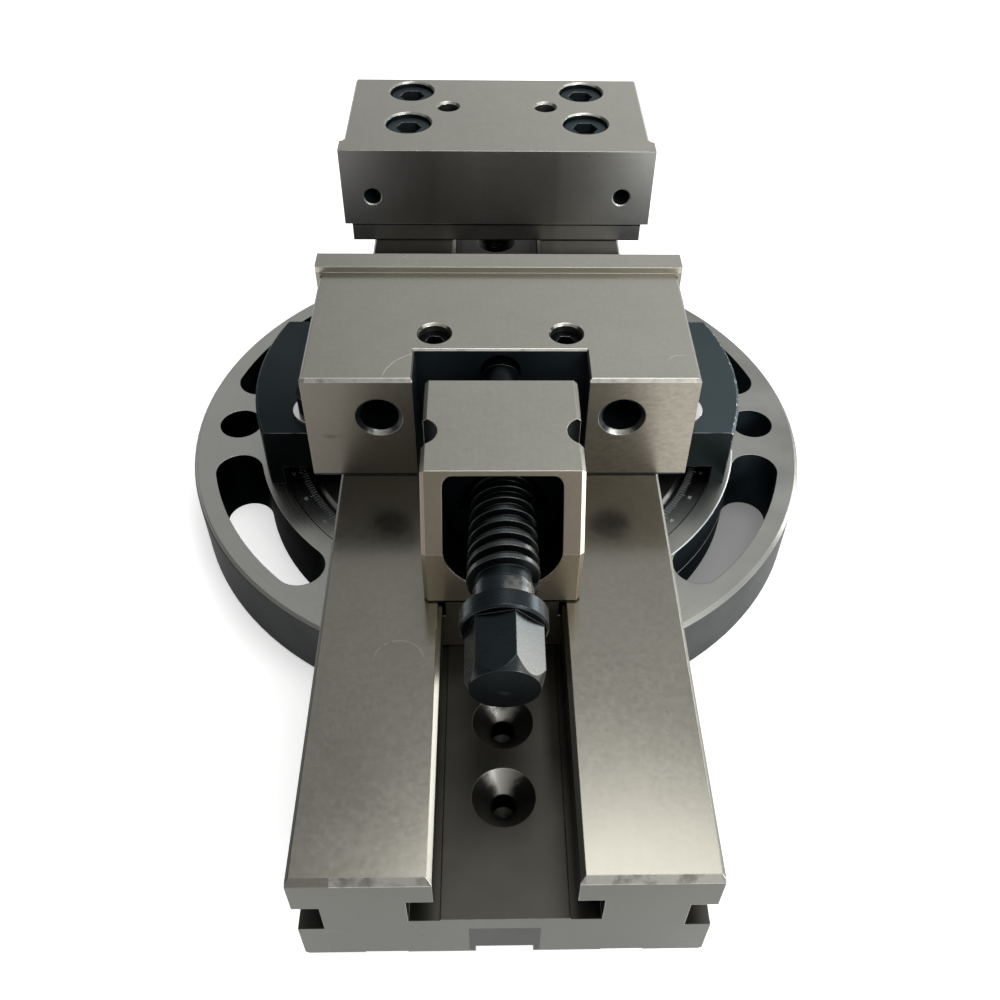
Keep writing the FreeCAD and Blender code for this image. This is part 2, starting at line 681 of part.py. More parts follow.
def plug_screw(x):
    """Grub screw sunk in the moving jaw's top hole."""
    top = BED_TOP + MOVING_BODY_H - PLUG_SINK
    y = MOVING_FACE_Y - PLUG_FROM_FACE
    screw = rod(PLUG_D / 2, PLUG_LEN, V(x, y, top - PLUG_LEN))
    rim = turned([(PLUG_D / 2 - 1.0, 1.0), (PLUG_D / 2 + 1.0, 1.0), (PLUG_D / 2 + 1.0, -1.0)])
    return screw.cut([moved(rim, x, y, top), hexagon(0.5 * PLUG_D, 6.0, V(x, y, top - 6.0))])


def block_side():
    """Side view of the block above the bed: upright foot, sloping brow, flat top."""
    y0 = BLOCK_FRONT_Y
    return [(y0, BED_TOP), (y0, BED_TOP + BLOCK_SLOPE_Z), (y0 + BLOCK_SLOPE_Y, BED_TOP + BLOCK_TOP),
            (BLOCK_BACK_Y, BED_TOP + BLOCK_TOP), (BLOCK_BACK_Y, BED_TOP)]


def block_edges(shape):
    """Edges of the block's two sides that are broken: all but the foot and the rear."""
    found = []
    for edge in shape.Edges:
        ends = [corner.Point for corner in edge.Vertexes]
        along_side = abs(ends[0].x - ends[1].x) < 0.01
        at_foot = max(end.z for end in ends) < BED_TOP + 0.01
        at_rear = min(end.y for end in ends) > BLOCK_BACK_Y - 0.01
        if along_side and not at_foot and not at_rear:
            found.append(edge)
    return found


def block_cavity():
    """Hollow in front of the threaded bore: flat sides, round bottom, sloping ceiling."""
    half = CAVITY_W / 2
    y0 = BLOCK_FRONT_Y - 1
    y1 = BLOCK_FRONT_Y + CAVITY_DEEP
    floor_z = BED_TOP + AXIS_Z - 1.5
    front_y = BLOCK_FRONT_Y + BLOCK_SLOPE_Y - 0.85
    ceiling = BED_TOP + CAVITY_CEILING
    drop = y1 - front_y
    side = along_x([(y0, floor_z), (y0, ceiling + 5), (front_y - 5, ceiling + 5),
                    (front_y, ceiling), (y1, ceiling - drop), (y1, floor_z)], -half, half)
    r = CAVITY_CORNER_R
    corner = box(half - r, half + 1, y0 - 1, y1 + 1, ceiling - r, ceiling + 6)
    corner = corner.cut(rod(r, y1 - y0 + 2, V(half - r, y0 - 1, ceiling - r), V(0, 1, 0)))
    side = side.cut(both_sides(corner))
    bowl = rod(CAVITY_ROUND_R, y1 - y0, V(0, y0, floor_z), V(0, 1, 0))
    return joined([side, bowl.cut(box(-half, half, y0, y1, floor_z, floor_z + 2 * CAVITY_ROUND_R))])


def screw_block():
    half = BLOCK_W / 2
    upper = along_x(block_side(), -half, half)
    upper = upper.makeChamfer(BLOCK_EDGE, block_edges(upper))
    shape = joined([upper, tee(BLOCK_FRONT_Y, BLOCK_BACK_Y, BED_TOP + 1)])
    neck = SLOT_W / 2 - GUIDE_SIDE_GAP
    cuts = both_sides(box(neck - NECK_RELIEF_W, neck, BLOCK_FRONT_Y, BLOCK_BACK_Y,
                           BED_TOP - NECK_RELIEF_H, BED_TOP))
    notch_x = half - NOTCH_D + NOTCH_R
    cuts += both_sides(rod(NOTCH_R, BLOCK_TOP, V(notch_x, BLOCK_FRONT_Y + NOTCH_FROM_FRONT, BED_TOP)))
    cuts.append(block_cavity())
    cuts.append(on_spindle(rod(THREAD_R + BORE_GAP, 2 * BLOCK_LEN, V(0, 0, -BLOCK_LEN / 2))))
    run = CAVITY_DEEP / math.cos(TILT)
    cuts.append(on_spindle(cone(BORE_CONE_R, THREAD_R, BORE_CONE_R - THREAD_R, V(0, 0, run - 0.3))))
    low = SLOT_FLOOR + GUIDE_FLOOR_GAP
    cuts.append(rod(PLUNGER_R + PLUNGER_GAP, plunger_roof() - low, V(0, PLUNGER_Y, low)))
    cuts.append(rod(PLUNGER_STEM_R + PLUNGER_GAP, STEM_WALL, V(0, PLUNGER_Y, plunger_roof())))
    well_z = spring_seat()
    cuts.append(rod(CAP_R + CAP_SIDE_GAP, BED_TOP + AXIS_Z - well_z, V(0, PLUNGER_Y, well_z)))
    return shape.cut(cuts)


def plunger_roof():
    """Top of the plunger's bore, which the lifted plunger rests against."""
    return SLOT_FLOOR + GUIDE_FLOOR_GAP + PLUNGER_LEN


def spring_seat():
    return plunger_roof() + STEM_WALL


def on_spindle(shape):
    """Takes a shape modelled along Z to the spindle's rising line."""
    copy = shape.copy()
    copy.rotate(V(0, 0, 0), V(1, 0, 0), TILT_DEG - 90.0)
    copy.translate(V(0, BLOCK_FRONT_Y, BED_TOP + AXIS_Z))
    return copy


def thread_ridge():
    """Trapezoidal ridge of the spindle's thread, a little sunk into the core."""
    sink = 0.3
    lean = math.tan(math.radians(FLANK_DEG))
    half_crest = PITCH / 4 - (THREAD_R - ROOT_R) / 2 * lean
    half_root = PITCH / 4 + ((THREAD_R - ROOT_R) / 2 + sink) * lean
    first = THREAD_FRONT + half_root
    length = THREAD_BACK - THREAD_FRONT - 2 * half_root
    helix = Part.makeLongHelix(PITCH, length, ROOT_R)
    profile = Part.makePolygon([V(ROOT_R - sink, 0, -half_root), V(THREAD_R, 0, -half_crest),
                                V(THREAD_R, 0, half_crest), V(ROOT_R - sink, 0, half_root),
                                V(ROOT_R - sink, 0, -half_root)])
    ridge = Part.Wire(helix.Edges).makePipeShell([profile], True, True)
    rise = THREAD_R + 1 - ROOT_R
    lead_in = turned([(ROOT_R, THREAD_FRONT - 1), (THREAD_R + 1, THREAD_FRONT - 1),
                      (THREAD_R + 1, THREAD_FRONT + rise), (ROOT_R, THREAD_FRONT)])
    return moved(ridge, 0, 0, first).cut(lead_in)


def spindle():
    ball_z = ball_place()
    edge = 0.7
    body = turned([(0, COLLAR_FRONT), (COLLAR_R - edge, COLLAR_FRONT), (COLLAR_R, COLLAR_FRONT + edge),
                   (COLLAR_R, COLLAR_BACK - edge), (COLLAR_R - edge, COLLAR_BACK),
                   (NECK_R, COLLAR_BACK), (NECK_R, THREAD_FRONT - 0.5), (ROOT_R, THREAD_FRONT),
                   (ROOT_R, THREAD_BACK), (SHANK_R, THREAD_BACK + 1.5), (SHANK_R, ball_z - BALL_R - 3),
                   (BALL_NECK_R, ball_z - BALL_R - 2), (BALL_NECK_R, ball_z), (0, ball_z)])
    hexed = hexagon(HEX_FLATS, COLLAR_FRONT - HEX_END, V(0, 0, HEX_END), HEX_TURN_DEG - 90.0)
    taper = turned([(0, HEX_END), (END_R, HEX_END), (HEX_CORNER_R, HEX_END + HEX_TAPER),
                    (HEX_CORNER_R, COLLAR_FRONT), (0, COLLAR_FRONT)])
    dome_r = (END_R ** 2 + END_DOME ** 2) / (2 * END_DOME)
    dome = Part.makeSphere(dome_r, V(0, 0, HEX_END - END_DOME + dome_r))
    dome = dome.common(rod(END_R, END_DOME + 0.5, V(0, 0, HEX_END - END_DOME)))
    ball = Part.makeSphere(BALL_R, V(0, 0, ball_z))
    shape = joined([body, hexed.common(taper), dome, ball])
    return on_spindle(shape.fuse(thread_ridge()))


def ball_place():
    """Centre of the ball along the spindle."""
    return FACE_RUN - CUP_PROUD + CUP_LEN - BALL_R - 2.6


def thrust_cup():
    """Cup that takes the ball's thrust to the jaw, with two flats for its pins."""
    start = FACE_RUN - CUP_PROUD
    ball_z = ball_place()
    body = rod(CUP_R, CUP_LEN + 3, V(0, 0, start))
    socket = Part.makeSphere(BALL_R + BALL_GAP, V(0, 0, ball_z))
    mouth = cone(BALL_NECK_R + 1.6, BALL_NECK_R + 0.5, ball_z - start, V(0, 0, start))
    shape = on_spindle(body.cut([socket, mouth]))
    face = POCKET_Y + CUP_LEN - CUP_PROUD
    cuts = [box(-2 * CUP_R, 2 * CUP_R, face, face + 10, BED_TOP, JAW_TOP)]
    for x, y in cup_pin_places():
        groove = CUP_PIN_R + CUP_GAP
        edge = math.copysign(abs(x) - groove, x)
        outer = math.copysign(2 * CUP_R, x)
        cuts.append(box(min(edge, outer), max(edge, outer), y - groove, y + groove, BED_TOP, JAW_TOP))
    return shape.cut(cuts)


def cup_pin(x, y):
    low = BED_TOP + GUIDE_LET_IN
    return rod(CUP_PIN_R, cup_pin_top() - low, V(x, y, low))


def locating_plunger():
    low = SLOT_FLOOR + GUIDE_FLOOR_GAP
    roof = plunger_roof()
    stem_top = spring_seat() + SPRING_ROOM + CAP_T / 2
    cone_top = low + PLUNGER_R - PLUNGER_TIP_R
    shape = turned([(0, low), (PLUNGER_TIP_R, low), (PLUNGER_R, cone_top), (PLUNGER_R, roof),
                    (PLUNGER_STEM_R, roof), (PLUNGER_STEM_R, stem_top), (0, stem_top)])
    return moved(shape, 0, PLUNGER_Y)


def plunger_cap():
    """Cap screwed on the plunger's stem, which the spring lifts."""
    low = spring_seat() + SPRING_ROOM
    cap = turned([(0, low), (CAP_R, low), (CAP_R, low + CAP_T - 0.6), (CAP_R - 0.6, low + CAP_T),
                  (0, low + CAP_T)])
    return moved(cap.cut(rod(PLUNGER_STEM_R, CAP_T / 2, V(0, 0, low))), 0, PLUNGER_Y)


def plunger_spring():
    """Coil of a wire with few sides, because it lies hidden in the block."""
    room = SPRING_ROOM - 2 * SPRING_WIRE_R
    line = Part.makeHelix(room / SPRING_TURNS, room, SPRING_R)
    corners = []
    for side in range(6):
        angle = math.radians(60.0 * side)
        corners.append(V(SPRING_R + SPRING_WIRE_R * math.cos(angle), 0, SPRING_WIRE_R * math.sin(angle)))
    wire = Part.makePolygon(corners + corners[:1])
    coil = Part.Wire(line.Edges).makePipeShell([wire], True, True)
    return moved(coil, 0, PLUNGER_Y, spring_seat() + SPRING_WIRE_R)


def clamp(side):
    """Left or right clamp: nose in the bed's groove, arched body, foot on the ring."""
    nose_low = DECK_Z + GROOVE_Z
    top = DECK_Z + CLAMP_TOP
    side_x = BED_W / 2 + CLAMP_SIDE_GAP
    foot_x = math.sqrt(CLAMP_FOOT_IN ** 2 - CLAMP_HALF ** 2) - 1.0
    section = [(CLAMP_NOSE_X, nose_low), (side_x, nose_low), (side_x, DECK_Z + CLAMP_ARCH),
               (foot_x, DECK_Z + CLAMP_ARCH), (foot_x, RING_TOP),
               (CLAMP_R, RING_TOP), (CLAMP_R, top), (CLAMP_NOSE_X, top)]
    shape = along_y(section, -CLAMP_HALF, CLAMP_HALF)
    rim = turned([(0, RING_TOP), (CLAMP_R, RING_TOP), (CLAMP_R, top - CLAMP_EDGE),
                  (CLAMP_R - CLAMP_EDGE, top), (0, top)])
    inner = rod(CLAMP_FOOT_IN, CLAMP_ARCH + RING_DROP, V(0, 0, RING_TOP))
    shape = shape.common(rim)
    shape = shape.cut([inner] + [rod(CLAMP_BOLT_D / 2 + 0.5, CLAMP_TOP + 1, V(CLAMP_BOLT_X, y, DECK_Z))
                                 for y in (-CLAMP_BOLT_Y, CLAMP_BOLT_Y)])
    return shape if side > 0 else shape.mirror(V(0, 0, 0), V(1, 0, 0))


def clamp_places():
    return [(x, y) for x in (-CLAMP_BOLT_X, CLAMP_BOLT_X) for y in (-CLAMP_BOLT_Y, CLAMP_BOLT_Y)]


def clamp_washer(x, y):
    z = DECK_Z + CLAMP_TOP
    return rod(WASHER_R, WASHER_T, V(x, y, z)).cut(rod(CLAMP_BOLT_D / 2 + 0.25, WASHER_T, V(x, y, z)))


def clamp_bolt(x, y):
    head_top = DECK_Z + CLAMP_TOP + WASHER_T + CLAMP_BOLT_D
    return moved(socket_screw(CLAMP_BOLT_D, CLAMP_BOLT_LEN, head_top), x, y)


save("base_ring", [base_ring()])
save("thrust_ring", [thrust_ring()])
save("turntable", [turntable()])
save("keeper_plate", [keeper_plate()])
save("keeper_screws", [countersunk_screw(place, 3.0) for place in keeper_screw_places()])
save("bed_key_front", [bed_key(-1)])
save("bed_key_rear", [bed_key(1)])
save("bed_key_screws", [bed_key_screw(-1), bed_key_screw(1)])
save("left_clamp", [clamp(-1)])
save("right_clamp", [clamp(1)])
save("clamp_washers", [clamp_washer(x, y) for x, y in clamp_places()])
save("clamp_bolts", [clamp_bolt(x, y) for x, y in clamp_places()])
save("bed", [bed()])
save("fixed_jaw", [fixed_jaw()])
save("fixed_jaw_bolts", [fixed_jaw_bolt(x, y) for x, y in fix_bolt_places()])
save("fixed_jaw_dowels", [fixed_jaw_dowel(x, y) for x, y in dowel_places()])
save("moving_jaw", [moving_jaw()])
save("jaw_plug_screws", [plug_screw(x) for x in (-PLUG_X, PLUG_X)])
save("jaw_guide", [jaw_guide()])
save("guide_screws", [guide_screw(y) for y in guide_screw_places()])
save("cup_pins", [cup_pin(x, y) for x, y in cup_pin_places()])
save("screw_block", [screw_block()])
save("locating_plunger", [locating_plunger()])
save("plunger_cap", [plunger_cap()])
save("plunger_spring", [plunger_spring()])
save("thrust_cup", [thrust_cup()])
save("spindle", [spindle()])
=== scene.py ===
"""Looks of a modular machine vise on a graduated swivel base, laid out as an add-on."""

import json
import math

import bpy
from bpy.props import FloatProperty, FloatVectorProperty, IntProperty, PointerProperty
from mathutils import Matrix, Vector


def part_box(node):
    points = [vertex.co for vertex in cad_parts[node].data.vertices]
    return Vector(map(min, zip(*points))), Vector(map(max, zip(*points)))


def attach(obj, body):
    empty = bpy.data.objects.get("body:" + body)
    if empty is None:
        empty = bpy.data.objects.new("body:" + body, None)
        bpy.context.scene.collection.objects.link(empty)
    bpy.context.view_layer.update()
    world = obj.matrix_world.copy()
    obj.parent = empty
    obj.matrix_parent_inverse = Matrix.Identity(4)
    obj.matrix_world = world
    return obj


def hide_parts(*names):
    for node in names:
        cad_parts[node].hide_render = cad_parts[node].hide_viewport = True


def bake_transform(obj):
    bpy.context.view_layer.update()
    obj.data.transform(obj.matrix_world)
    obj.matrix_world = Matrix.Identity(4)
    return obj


bl_info = {
    "name": "Modular machine vise",
    "version": (1, 0, 0),
    "blender": (4, 5, 0),
    "location": "View3D > Sidebar > Vise",
    "description": "Finishes the vise's steel, engraves its degree scale and lights it",
    "category": "Object",
}

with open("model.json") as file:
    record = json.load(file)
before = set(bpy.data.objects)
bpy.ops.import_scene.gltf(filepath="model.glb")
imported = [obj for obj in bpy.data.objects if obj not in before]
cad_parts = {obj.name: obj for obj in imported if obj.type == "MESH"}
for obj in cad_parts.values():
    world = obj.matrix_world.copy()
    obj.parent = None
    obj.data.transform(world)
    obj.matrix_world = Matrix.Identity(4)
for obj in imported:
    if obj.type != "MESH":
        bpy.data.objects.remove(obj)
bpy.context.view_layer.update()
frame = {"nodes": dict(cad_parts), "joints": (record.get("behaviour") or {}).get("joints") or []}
NODES = frame["nodes"]
MM = 0.001

# Bed: undercut slot with a row of drilled cones in its floor, and a groove along each side
BED_LOW, BED_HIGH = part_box("bed")
BED_TOP = BED_HIGH.z
SLOT_HALF = 28.95 * MM
SLOT_MOUTH_Z = BED_TOP - 2.2 * MM
SLOT_LIP_Z = (BED_TOP - 12.6 * MM, BED_TOP - 4.5 * MM)
SLOT_FLOOR_Z = BED_TOP - 25.6 * MM
CONE_R = 10.6 * MM
CONE_FOOT_Z = BED_TOP - 32.2 * MM
GROOVE_X = (54.0 * MM, 62.45 * MM)
GROOVE_Z = (BED_LOW.z + 18.5 * MM, BED_LOW.z + 34.2 * MM)
SEAM = 0.8 * MM

# Jaws: offsets from their own corners, which hold at any place of the jaws
JAW_LOW, JAW_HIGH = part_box("moving_jaw")
JAW_SIDE = JAW_HIGH.x - 2.0 * MM
FACE_HOLE_Z = BED_TOP + 29.5 * MM
POCKET_HALF = 32.35 * MM
POCKET_DEEP = 18.2 * MM
REAR_BORE_X = 45.4 * MM
REAR_BORE_R = 7.6 * MM
REAR_MOUTH_R = 8.9 * MM
PLUG_X = 25.1 * MM
PLUG_FROM_PLATE = 51.1 * MM
PLUG_R = 6.3 * MM
FIXED_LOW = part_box("fixed_jaw")[0]
FIX_BOLT_X = 43.3 * MM
FIX_BOLT_Y = FIXED_LOW.y + 46.8 * MM
FIX_BOLT_ROW = 17.8 * MM
FIX_BOLT_R = 11.1 * MM
TOP_HOLE_X = 24.3 * MM
TOP_HOLE_Y = FIXED_LOW.y + 47.1 * MM
TOP_HOLE_R = 5.2 * MM
FACE_HOLE_X = 60.4 * MM
FACE_HOLE_R = 4.4 * MM
FACE_HOLE_DEEP = 40.0 * MM

# Screw block: open hollow for the spindle, and a half-round finger notch in each side
BLOCK_LOW, BLOCK_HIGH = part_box("screw_block")
HOLLOW_HALF = 20.8 * MM
NOTCH_X = 28.95 * MM
NOTCH_Y = BLOCK_LOW.y + 33.65 * MM
NOTCH_R = 7.15 * MM

# Spindle: from the journal at its joint towards the jaw, hexagon first
SPINDLE_JOINT = next(j for j in frame["joints"] if j["name"] == "spindle_turn")
SPINDLE_AT = Vector(SPINDLE_JOINT["pos_m"])
SPINDLE_ALONG = Vector(SPINDLE_JOINT["axis"]).normalized()
HEXAGON_END = -33.2 * MM
COLLAR_END = -25.2 * MM
THREAD_START = -17.0 * MM
THREAD_END = 62.0 * MM
THREAD_ROOT_R = 11.0 * MM
THREAD_LAND_R = 11.6 * MM

# Swivel base: clamping slots with a ledge in their walls, and the graduated band
RING_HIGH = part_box("base_ring")[1]
RING_BORE_R = 105.0 * MM
SLOT_WALLS_R = (108.0 * MM, RING_HIGH.x - 4.0 * MM)
LEDGE_Z = 15.0 * MM
LEDGE_R = (110.0 * MM, 114.6 * MM)
LIP_R = 113.6 * MM
LIP_TILT = (0.17, 1.3)
BAND_Z = RING_HIGH.z - 0.6 * MM
CLAMP_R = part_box("right_clamp")[1].x
BOLT_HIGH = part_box("clamp_bolts")[1]
BOLT_HEAD_R = 7.5 * MM
ENGRAVED = "Engraved lines"

# Faint curved marks on two tops: middle, radius, first and last place along X, width
JAW_MARK = ((-26.0 * MM, -87.7 * MM), 17.3 * MM, -43.0 * MM, -32.0 * MM, 0.12 * MM)
RAIL_MARK = ((-34.8 * MM, -176.3 * MM), 8.5 * MM, -43.0 * MM, -26.5 * MM, 0.3 * MM)

# Colours of bare metal where a finish is worn off, and LEDGE_GLINT, the colour of a painted highlight
WORN_JAW = (0.62, 0.61, 0.57)
WORN_RING = (0.62, 0.62, 0.59)
RUBBED_BLACK = (0.30, 0.31, 0.31)
BARE_NICK = (0.85, 0.85, 0.83)
LEDGE_GLINT = (0.88, 0.89, 0.88)

# Lamps: name, place, size and power, all aimed at the vise's middle
LAMPS = (("Ceiling lamp", (0.20, 0.10, 1.60), 0.90, 8.0),
         ("Right window", (1.30, 0.60, 0.16), 0.70, 9.0),
         ("Front key", (0.95, -1.15, 0.95), 0.80, 14.0))
LAMP_AIM = Vector((0.0, -0.05, 0.08))

# Camera that took the photograph, worked out from the vise's own corners
CAMERA_AT = (-0.00498, -0.37225, 0.36003)
CAMERA_PITCH, CAMERA_YAW, CAMERA_ROLL = [math.radians(a) for a in (45.884, 1.841, 1.189)]
CAMERA_SHIFT = (-0.01025, 0.00439)


def length(name, words, value, unit="LENGTH"):
    """A size that the user can change, in metres."""
    return FloatProperty(name=name, description=words, default=value, unit=unit, precision=5)


def colour(name, words, value):
    """A finish's colour that the user can change."""
    return FloatVectorProperty(name=name, description=words, default=value, subtype="COLOR",
                               size=3, min=0.0, max=1.0)


class ViseSizes(bpy.types.PropertyGroup):
    """Sizes of what is engraved on the vise and of the stage."""
    tick_inner: length("Tick start", "Radius where the degree ticks start", 94.9 * MM)
    tick_short: length("Short tick", "Length of a one degree tick", 2.8 * MM)
    tick_middle: length("Middle tick", "Length of a five degree tick", 3.3 * MM)
    tick_long: length("Long tick", "Length of a ten degree tick", 3.9 * MM)
    tick_width: length("Tick width", "Width of a degree tick", 0.26 * MM)
    engraving: length("Engraving height", "How far the filled lines stand out", 0.03 * MM)
    numeral_height: length("Numeral height", "Height of the scale's numerals", 2.2 * MM)
    numeral_radius: length("Numeral radius", "Radius of the numerals' middle", 101.0 * MM)
    edge_round: length("Edge rounding", "Radius of the broken edges", 0.45 * MM)
    floor_size: length("Floor size", "Half the side of the floor", 6.0)
    floor_lift: FloatProperty(name="Floor lift", description="Share of white that the floor shows by itself",
                              default=0.5, min=0.0, max=1.0)
    spring_wire: length("Spring wire", "Radius of the plunger spring's wire", 0.6 * MM)
    spring_turns: IntProperty(name="Spring turns", description="Turns of the plunger's spring",
                              default=4, min=1)
    lens: FloatProperty(name="Lens", description="Focal length of the camera", default=36.268,
                        unit="CAMERA")


class ViseColours(bpy.types.PropertyGroup):
    """Colours of the vise's finishes and of the stage."""
    jaw: colour("Ground jaws", "Ground tops of the jaws and the screw block", (0.328, 0.326, 0.286))
    # The upright faces' colours, the slot's and the rim's are darker than the tops partly for a rougher
    # finish and partly as painted shade
    jaw_side: colour("Milled jaws", "Upright faces of the jaws", (0.210, 0.193, 0.160))
    fixed_side: colour("Ground fixed face", "Upright faces of the fixed jaw", (0.200, 0.198, 0.190))
    block_side: colour("Milled block", "Upright faces of the screw block", (0.215, 0.186, 0.142))
    rail: colour("Ground rails", "Ground tops of the bed", (0.205, 0.198, 0.170))
    bed_side: colour("Milled bed", "Ends and sides of the bed", (0.069, 0.069, 0.059))
    slot: colour("Slot steel", "Darker steel of the bed's slot", (0.040, 0.039, 0.034))
    turned: colour("Turned steel", "Faces turned on the lathe", (0.320, 0.325, 0.302))
    rim: colour("Dark rim", "Dull outer wall of the base ring", (0.070, 0.074, 0.072))
    dark_steel: colour("Dark steel", "Spindle and thrust cup", (0.025, 0.032, 0.035))
    crest: colour("Worn crest", "Rubbed lands of the spindle's thread", (0.165, 0.158, 0.140))
    oxide: colour("Black oxide", "Blue-black clamps", (0.032, 0.0415, 0.0445))
    hollow: colour("Dark hollows", "Blackened pockets, holes and slot walls", (0.010, 0.014, 0.017))
    screw: colour("Black screws", "Blackened fasteners", (0.010, 0.012, 0.013))
    phosphate: colour("Phosphated bolts", "Grey blue bolts of the fixed jaw", (0.060, 0.078, 0.083))
    zinc: colour("Washer zinc", "Bright plated washers", (0.70, 0.71, 0.70))
    bronze: colour("Bearing bronze", "Thrust ring", (0.52, 0.34, 0.15))
    engraved: colour("Scale lines", "Filled lines and numerals of the scale", (0.35, 0.37, 0.39))
    floor: colour("Floor", "Pale floor", (0.90, 0.90, 0.895))


def sizes():
    """The user's sizes."""
    return bpy.context.scene.vise_sizes


def colours():
    """The user's colours."""
    return bpy.context.scene.vise_colours


class Field:
    """A number that changes over a surface, written in sums as a plain number is."""

    def __init__(self, finish, socket):
        self.finish = finish
        self.socket = socket

    def sum(self, operation, *others):
        """What a Math node makes of this number and the others."""
        return self.finish.maths(operation, self, *others)

    def __add__(self, other):
        return self.sum("ADD", other)

    def __mul__(self, other):
        return self.sum("MULTIPLY", other)

    __radd__ = __add__
    __rmul__ = __mul__

    def __sub__(self, other):
        return self.sum("SUBTRACT", other)

    def __rsub__(self, other):
        return self.finish.maths("SUBTRACT", other, self)

    def __truediv__(self, other):
        return self.sum("DIVIDE", other)

    def __neg__(self):
        return self.sum("MULTIPLY", -1.0)

    def __abs__(self):
        return self.sum("ABSOLUTE")

    def above(self, level, soft=0.0):
        """1 above a level and 0 below it, with a soft step if one is given."""
        if soft == 0.0:
            return self.sum("GREATER_THAN", level)
        return ((self - level) / soft + 0.5).kept()

    def below(self, level, soft=0.0):
        """1 below a level and 0 above it."""
        return 1 - self.above(level, soft)

    def between(self, low, high):
        """1 between two levels and 0 elsewhere."""
        return self.above(low) * self.below(high)

    def kept(self):
        """The number kept between 0 and 1."""
        return self.at_least(0.0).sum("MINIMUM", 1.0)

    def at_least(self, level):
        """The number, or the level where it is lower."""
        return self.sum("MAXIMUM", level)

    def swing(self, amount):
        """Noise brought down to lie about 0, with this much of it kept."""
        return (self - 0.5) * amount

    def away(self, other):
        """How far off a place is that lies this much one way and the other number square to it."""
        return (self * self + other * other).sum("SQRT")


class Finish:
    """One procedural material with its nodes, read in the piece's own coordinates."""

    def __init__(self, name):
        self.material = bpy.data.materials.new(name)
        self.material.use_nodes = True
        self.tree = self.material.node_tree
        self.tree.nodes.clear()
        self.shader = self.node("ShaderNodeBsdfPrincipled")
        self.node("ShaderNodeOutputMaterial", Surface=self.shader.outputs["BSDF"])
        self.place = self.node("ShaderNodeTexCoord").outputs["Object"]
        self.x, self.y, self.z = self.apart(self.place)
        self.facing = self.node("ShaderNodeNewGeometry").outputs["Normal"]
        turned = self.node("ShaderNodeVectorTransform", {"vector_type": "NORMAL", "convert_from": "WORLD",
                                                         "convert_to": "OBJECT"}, Vector=self.facing)
        self.nx, self.ny, self.nz = self.apart(turned.outputs["Vector"])

    def node(self, kind, settings=None, **sockets):
        """A node of a type, with its settings, and with values or links for its sockets."""
        made = self.tree.nodes.new(kind)
        for name, value in (settings or {}).items():
            setattr(made, name, value)
        for name, value in sockets.items():
            self.put(made.inputs[name.replace("_", " ")], value)
        return made

    def put(self, socket, value):
        """Link a socket or set its value, with full alpha for a colour."""
        if isinstance(value, Field):
            value = value.socket
        if isinstance(value, bpy.types.NodeSocket):
            self.tree.links.new(value, socket)
        elif socket.type == "RGBA":
            socket.default_value = (*value[:3], 1.0)
        else:
            socket.default_value = value

    def fed(self, kind, settings, inputs, values):
        """A node whose sockets are known by their number, because some share a name."""
        made = self.node(kind, settings)
        for number, value in zip(inputs, values):
            self.put(made.inputs[number], value)
        return made

    def maths(self, operation, *values):
        return Field(self, self.fed("ShaderNodeMath", {"operation": operation}, (0, 1), values).outputs[0])

    def vector_maths(self, operation, *values, result="Vector"):
        return self.fed("ShaderNodeVectorMath", {"operation": operation}, (0, 1), values).outputs[result]

    def apart(self, vector):
        """The three numbers of a vector."""
        return [Field(self, part) for part in self.node("ShaderNodeSeparateXYZ", Vector=vector).outputs]

    def vector(self, x, y, z):
        """A vector of three numbers."""
        return self.node("ShaderNodeCombineXYZ", X=x, Y=y, Z=z).outputs[0]

    def noise(self, at, scale, detail=3.0, rough=0.5):
        """Cloudy noise, from 0 to 1 with its middle at one half."""
        made = self.node("ShaderNodeTexNoise", Vector=at, Scale=scale, Detail=detail, Roughness=rough)
        return Field(self, made.outputs["Fac"])

    def stretched(self, along_x, along_y, along_z):
        """The piece's own coordinates, with its own scale each way."""
        return self.vector_maths("MULTIPLY", self.place, (along_x, along_y, along_z))

    def mixed(self, share, first, second):
        """Colour that goes from the first to the second as the share goes from 0 to 1."""
        made = self.fed("ShaderNodeMix", {"data_type": "RGBA", "clamp_factor": True}, (0, 6, 7),
                        (share, first, second))
        return made.outputs[2]

    def scaled(self, colour_at, factor):
        """A colour made lighter or darker by a number that changes over the surface."""
        return self.vector_maths("MULTIPLY", colour_at, self.vector(factor, factor, factor))

    def edges(self):
        """Rounded facing at edges, and how strongly a point lies on an edge."""
        rounded = self.node("ShaderNodeBevel", {"samples": 6}, Radius=sizes().edge_round).outputs["Normal"]
        along = Field(self, self.vector_maths("DOT_PRODUCT", rounded, self.facing, result="Value"))
        return rounded, ((1 - along) * 9.0).kept()

    def bump(self, height, depth, rounded):
        """Facing that the height tilts, on edges that are rounded already."""
        made = self.node("ShaderNodeBump", Height=height, Strength=1.0, Distance=depth, Normal=rounded)
        return made.outputs["Normal"]

    def set(self, **sockets):
        """Give the shader's sockets their values or links."""
        for name, value in sockets.items():
            self.put(self.shader.inputs[name.replace("_", " ")], value)

    def cover(self, *pieces):
        """Put the material on pieces, in place of any other."""
        for piece in pieces:
            piece.data.materials.clear()
            piece.data.materials.append(self.material)


def pits_and_scratches(f):
    """Sparse dark pits and a few bright hairline scratches, as two masks."""
    pits = f.node("ShaderNodeTexVoronoi", {"feature": "F1"}, Vector=f.place, Scale=95.0)
    rare = f.noise(f.place, 140.0, 0.0).above(0.66)
    pit = Field(f, pits.outputs["Distance"]).below(0.045, 0.03) * rare
    hair = abs(f.noise(f.place, 24.0, 0.0) - 0.5).below(0.0011, 0.0010)
    patch = f.noise(f.place, 33.0, 1.0).above(0.77, 0.03)
    return pit, hair * patch


